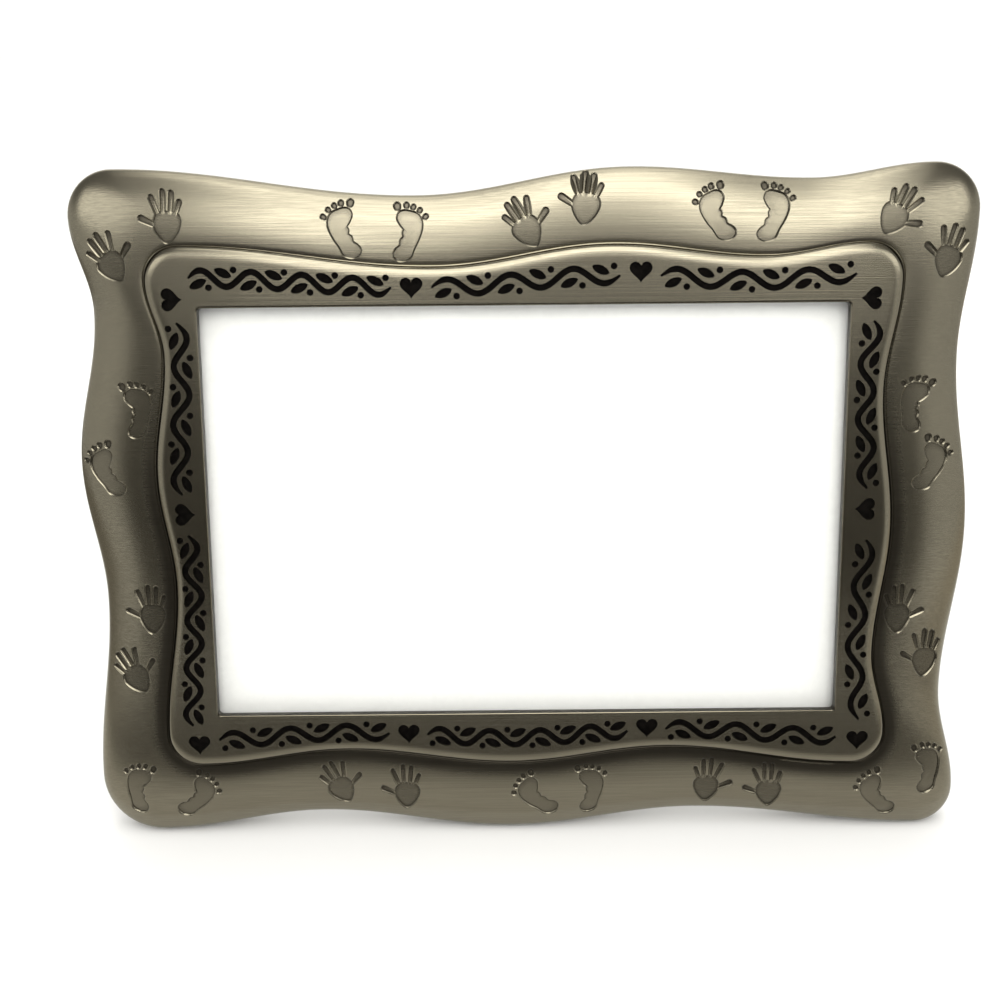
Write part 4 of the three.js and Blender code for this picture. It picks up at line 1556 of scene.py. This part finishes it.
# %% Sky and soft boxes
SKY_FRONT = 0.2
SKY_SIDE = 0.95
SKY_ABOVE = 0.34
SKY_BEHIND = 1.7
SKY_BACKDROP = 1.1
SKY_GLOW = 2.6
SIDES_START = (0.42, 0.6)
ABOVE_STARTS = (0.2, 0.5)
BEHIND_STARTS = (0.3, 0.65)
BACKDROP_RISE = (0.15, 0.4)
GLOW_MIDDLE = 0.05
GLOW_RISE = (0.08, 0.75)
GLOW_EDGE = (0.14, 0.3)
GLOW_TOP = (0.8, 0.95)
GLOW_OVERHEAD = 0.5
WINDOW_GLOW = 10.0
WINDOW_MIDDLE = 3.5
WINDOW_FOOT = (0.23, 0.43)
WINDOW_HEAD = (0.58, 0.74)
WINDOW_INNER = (9.5, 11)
WINDOW_OUTER = (13.5, 16.5)
LIGHT_TINT = (1.0, 0.985, 0.94)
AIM = Vector((0, 0, 0.08))
LIGHT_DISTANCE = 0.9


def make_sky():
    """Dim in front, with a glow and two windows above, brighter to the sides, and white behind."""
    sky = Finish(bpy.data.worlds.new("sky"))
    direction = sky.node("ShaderNodeTexCoord", output="Generated")
    across, back, height = (sky.axis(direction, letter) for letter in "XYZ")
    round_about = sky.span(sky.distance(across, 0), *SIDES_START, SKY_FRONT, SKY_SIDE)
    overhead = sky.span(height, *ABOVE_STARTS)
    front_glow = sky.span(height, *GLOW_RISE, 0.0, SKY_GLOW)
    front_glow = front_glow * (1 - sky.span(sky.distance(across, GLOW_MIDDLE), *GLOW_EDGE))
    front_glow = front_glow * sky.span(height, *GLOW_TOP, 1.0, GLOW_OVERHEAD)
    azimuth = sky.node("ShaderNodeMath", {"operation": "ARCTAN2"}, {0: across, 1: 0 - back})
    turn_away = sky.distance(azimuth, math.radians(WINDOW_MIDDLE))
    inner, outer = (
        sky.span(turn_away, *(math.radians(edge) for edge in edges)) for edges in (WINDOW_INNER, WINDOW_OUTER)
    )
    window_height = sky.span(height, *WINDOW_FOOT, 0.0, WINDOW_GLOW) * (1 - sky.span(height, *WINDOW_HEAD))
    window = window_height * inner * (1 - outer)
    glow = round_about * (1 - overhead) + SKY_ABOVE * overhead + front_glow + window
    backdrop = sky.span(height, *BACKDROP_RISE, SKY_BACKDROP, SKY_BEHIND)
    behind = sky.span(back, *BEHIND_STARTS)
    strength = glow * (1 - behind) + backdrop * behind
    light = sky.node("ShaderNodeBackground", {}, {"Color": (*LIGHT_TINT, 1), "Strength": strength})
    sky.node("ShaderNodeOutputWorld", {}, {"Surface": light})
    return sky.owner


def soft_box(name, azimuth, elevation, width, height, brightness):
    """A lamp seen from the frame at so many degrees to the right of the front and up from the floor."""
    across = math.radians(azimuth)
    up = math.radians(elevation)
    way = Vector((math.sin(across) * math.cos(up), -math.cos(across) * math.cos(up), math.sin(up)))
    data = bpy.data.lights.new(name, "AREA")
    data.shape = "RECTANGLE"
    data.size = width
    data.size_y = height
    data.energy = brightness * math.pi * width * height
    data.color = LIGHT_TINT
    light = bpy.data.objects.new(name, data)
    light.location = AIM + way * LIGHT_DISTANCE
    light.rotation_euler = (-way).to_track_quat("-Z", "Y").to_euler()
    scene.collection.objects.link(light)


scene.world = make_sky()
soft_box("key", 4, 60, 0.42, 0.6, 3.4)
soft_box("overhead", 0, 90, 0.6, 0.55, 1.9)
soft_box("left", -45, 29.5, 0.5, 0.26, 2.6)
soft_box("right", 46, 27, 0.44, 0.26, 2.9)
print("lights:", len(bpy.data.lights))

# %% Floor and cards
FLOOR_REACH = 6
FLOOR_NEAR = (0.8, 0.805, 0.815, 1)
FLOOR_FAR = (0.985, 0.99, 0.995, 1)
PALE_FROM, PALE_AT = -0.13, -0.035
PALE_NEAR_FRAME = (0.7, 0.69, 0.68, 1)


def floor_finish():
    finish = new_finish("pale_floor")
    grain = finish.noise((60, 60, 60), 3.0)
    back = finish.axis(finish.place(), "Y")
    # painted shade: the floor is darker near the frame, where the lamps light it most, and paler far off,
    # where less light reaches, so it looks evenly bright
    tint = finish.mix(finish.span(back, 0.06, 0.5), FLOOR_NEAR, FLOOR_FAR)
    return finish.surface(Base_Color=tint, Roughness=0.75 + 0.15 * grain)


def reflection_card_finish(name, tone, pale=None):
    """The tone of a card that paints a reflection: even, or paling towards the frame."""
    finish = new_finish(name)
    grain = finish.noise((200, 200, 200), 3.0)
    dark = (0.8 * tone, 0.75 * tone, 0.66 * tone, 1)
    light = (1.2 * tone, 1.1 * tone, 0.97 * tone, 1)
    tint = finish.mix(grain, dark, light)
    if pale:
        back = finish.axis(finish.place(), "Y")
        tint = finish.mix(finish.span(back, PALE_FROM, PALE_AT), tint, pale)
    return finish.surface(Base_Color=tint, Roughness=0.8 + 0.1 * grain)


def flat_card(name, width, height, place, finish):
    """A stage card that only the metal sees, which paints a dark or grey reflection into it."""
    board = bmesh.new()
    size = Matrix.Diagonal((width, height, 1, 1))
    bmesh.ops.create_grid(board, x_segments=1, y_segments=1, size=0.5, matrix=place @ size)
    card = to_object(board, name, [finish])
    card.visible_camera = False
    card.visible_diffuse = False
    card.visible_shadow = False
    return card


floor_board = bmesh.new()
bmesh.ops.create_grid(floor_board, x_segments=4, y_segments=4, size=FLOOR_REACH)
floor = to_object(floor_board, "floor", [floor_finish()])
# painted reflections: tones for the cards that only the metal sees
dark_reflection_tone = reflection_card_finish("dark_reflection_tone", 0.05)
floor_reflection_shade = reflection_card_finish("floor_reflection_shade", 0.05, PALE_NEAR_FRAME)
grey_reflection_tone = reflection_card_finish("grey_reflection_tone", 0.26)
light_reflection_tone = reflection_card_finish("light_reflection_tone", 0.56)
upright_turn = Matrix.Rotation(HALF_TURN / 2, 4, "X")
# painted reflections: a dark card standing in front, a dark sheet on the floor before the frame, a grey one
# to the left and a light one to the right
front_reflection_card = flat_card("dark_front_reflection_card", 0.52, 0.14, Matrix.Translation((0, -0.3, 0.0985)) @ upright_turn, dark_reflection_tone)
floor_reflection_card = flat_card("floor_reflection_shade", 0.5, 0.42, Matrix.Translation((0, -0.245, 0.001)), floor_reflection_shade)
left_reflection_card = flat_card("left_reflection_card", 0.6, 0.9, Matrix.Translation((-0.56, 0.1, 0.0008)), grey_reflection_tone)
right_reflection_card = flat_card("right_reflection_card", 0.6, 0.9, Matrix.Translation((0.56, 0.1, 0.0008)), light_reflection_tone)
print("floor and cards are set")
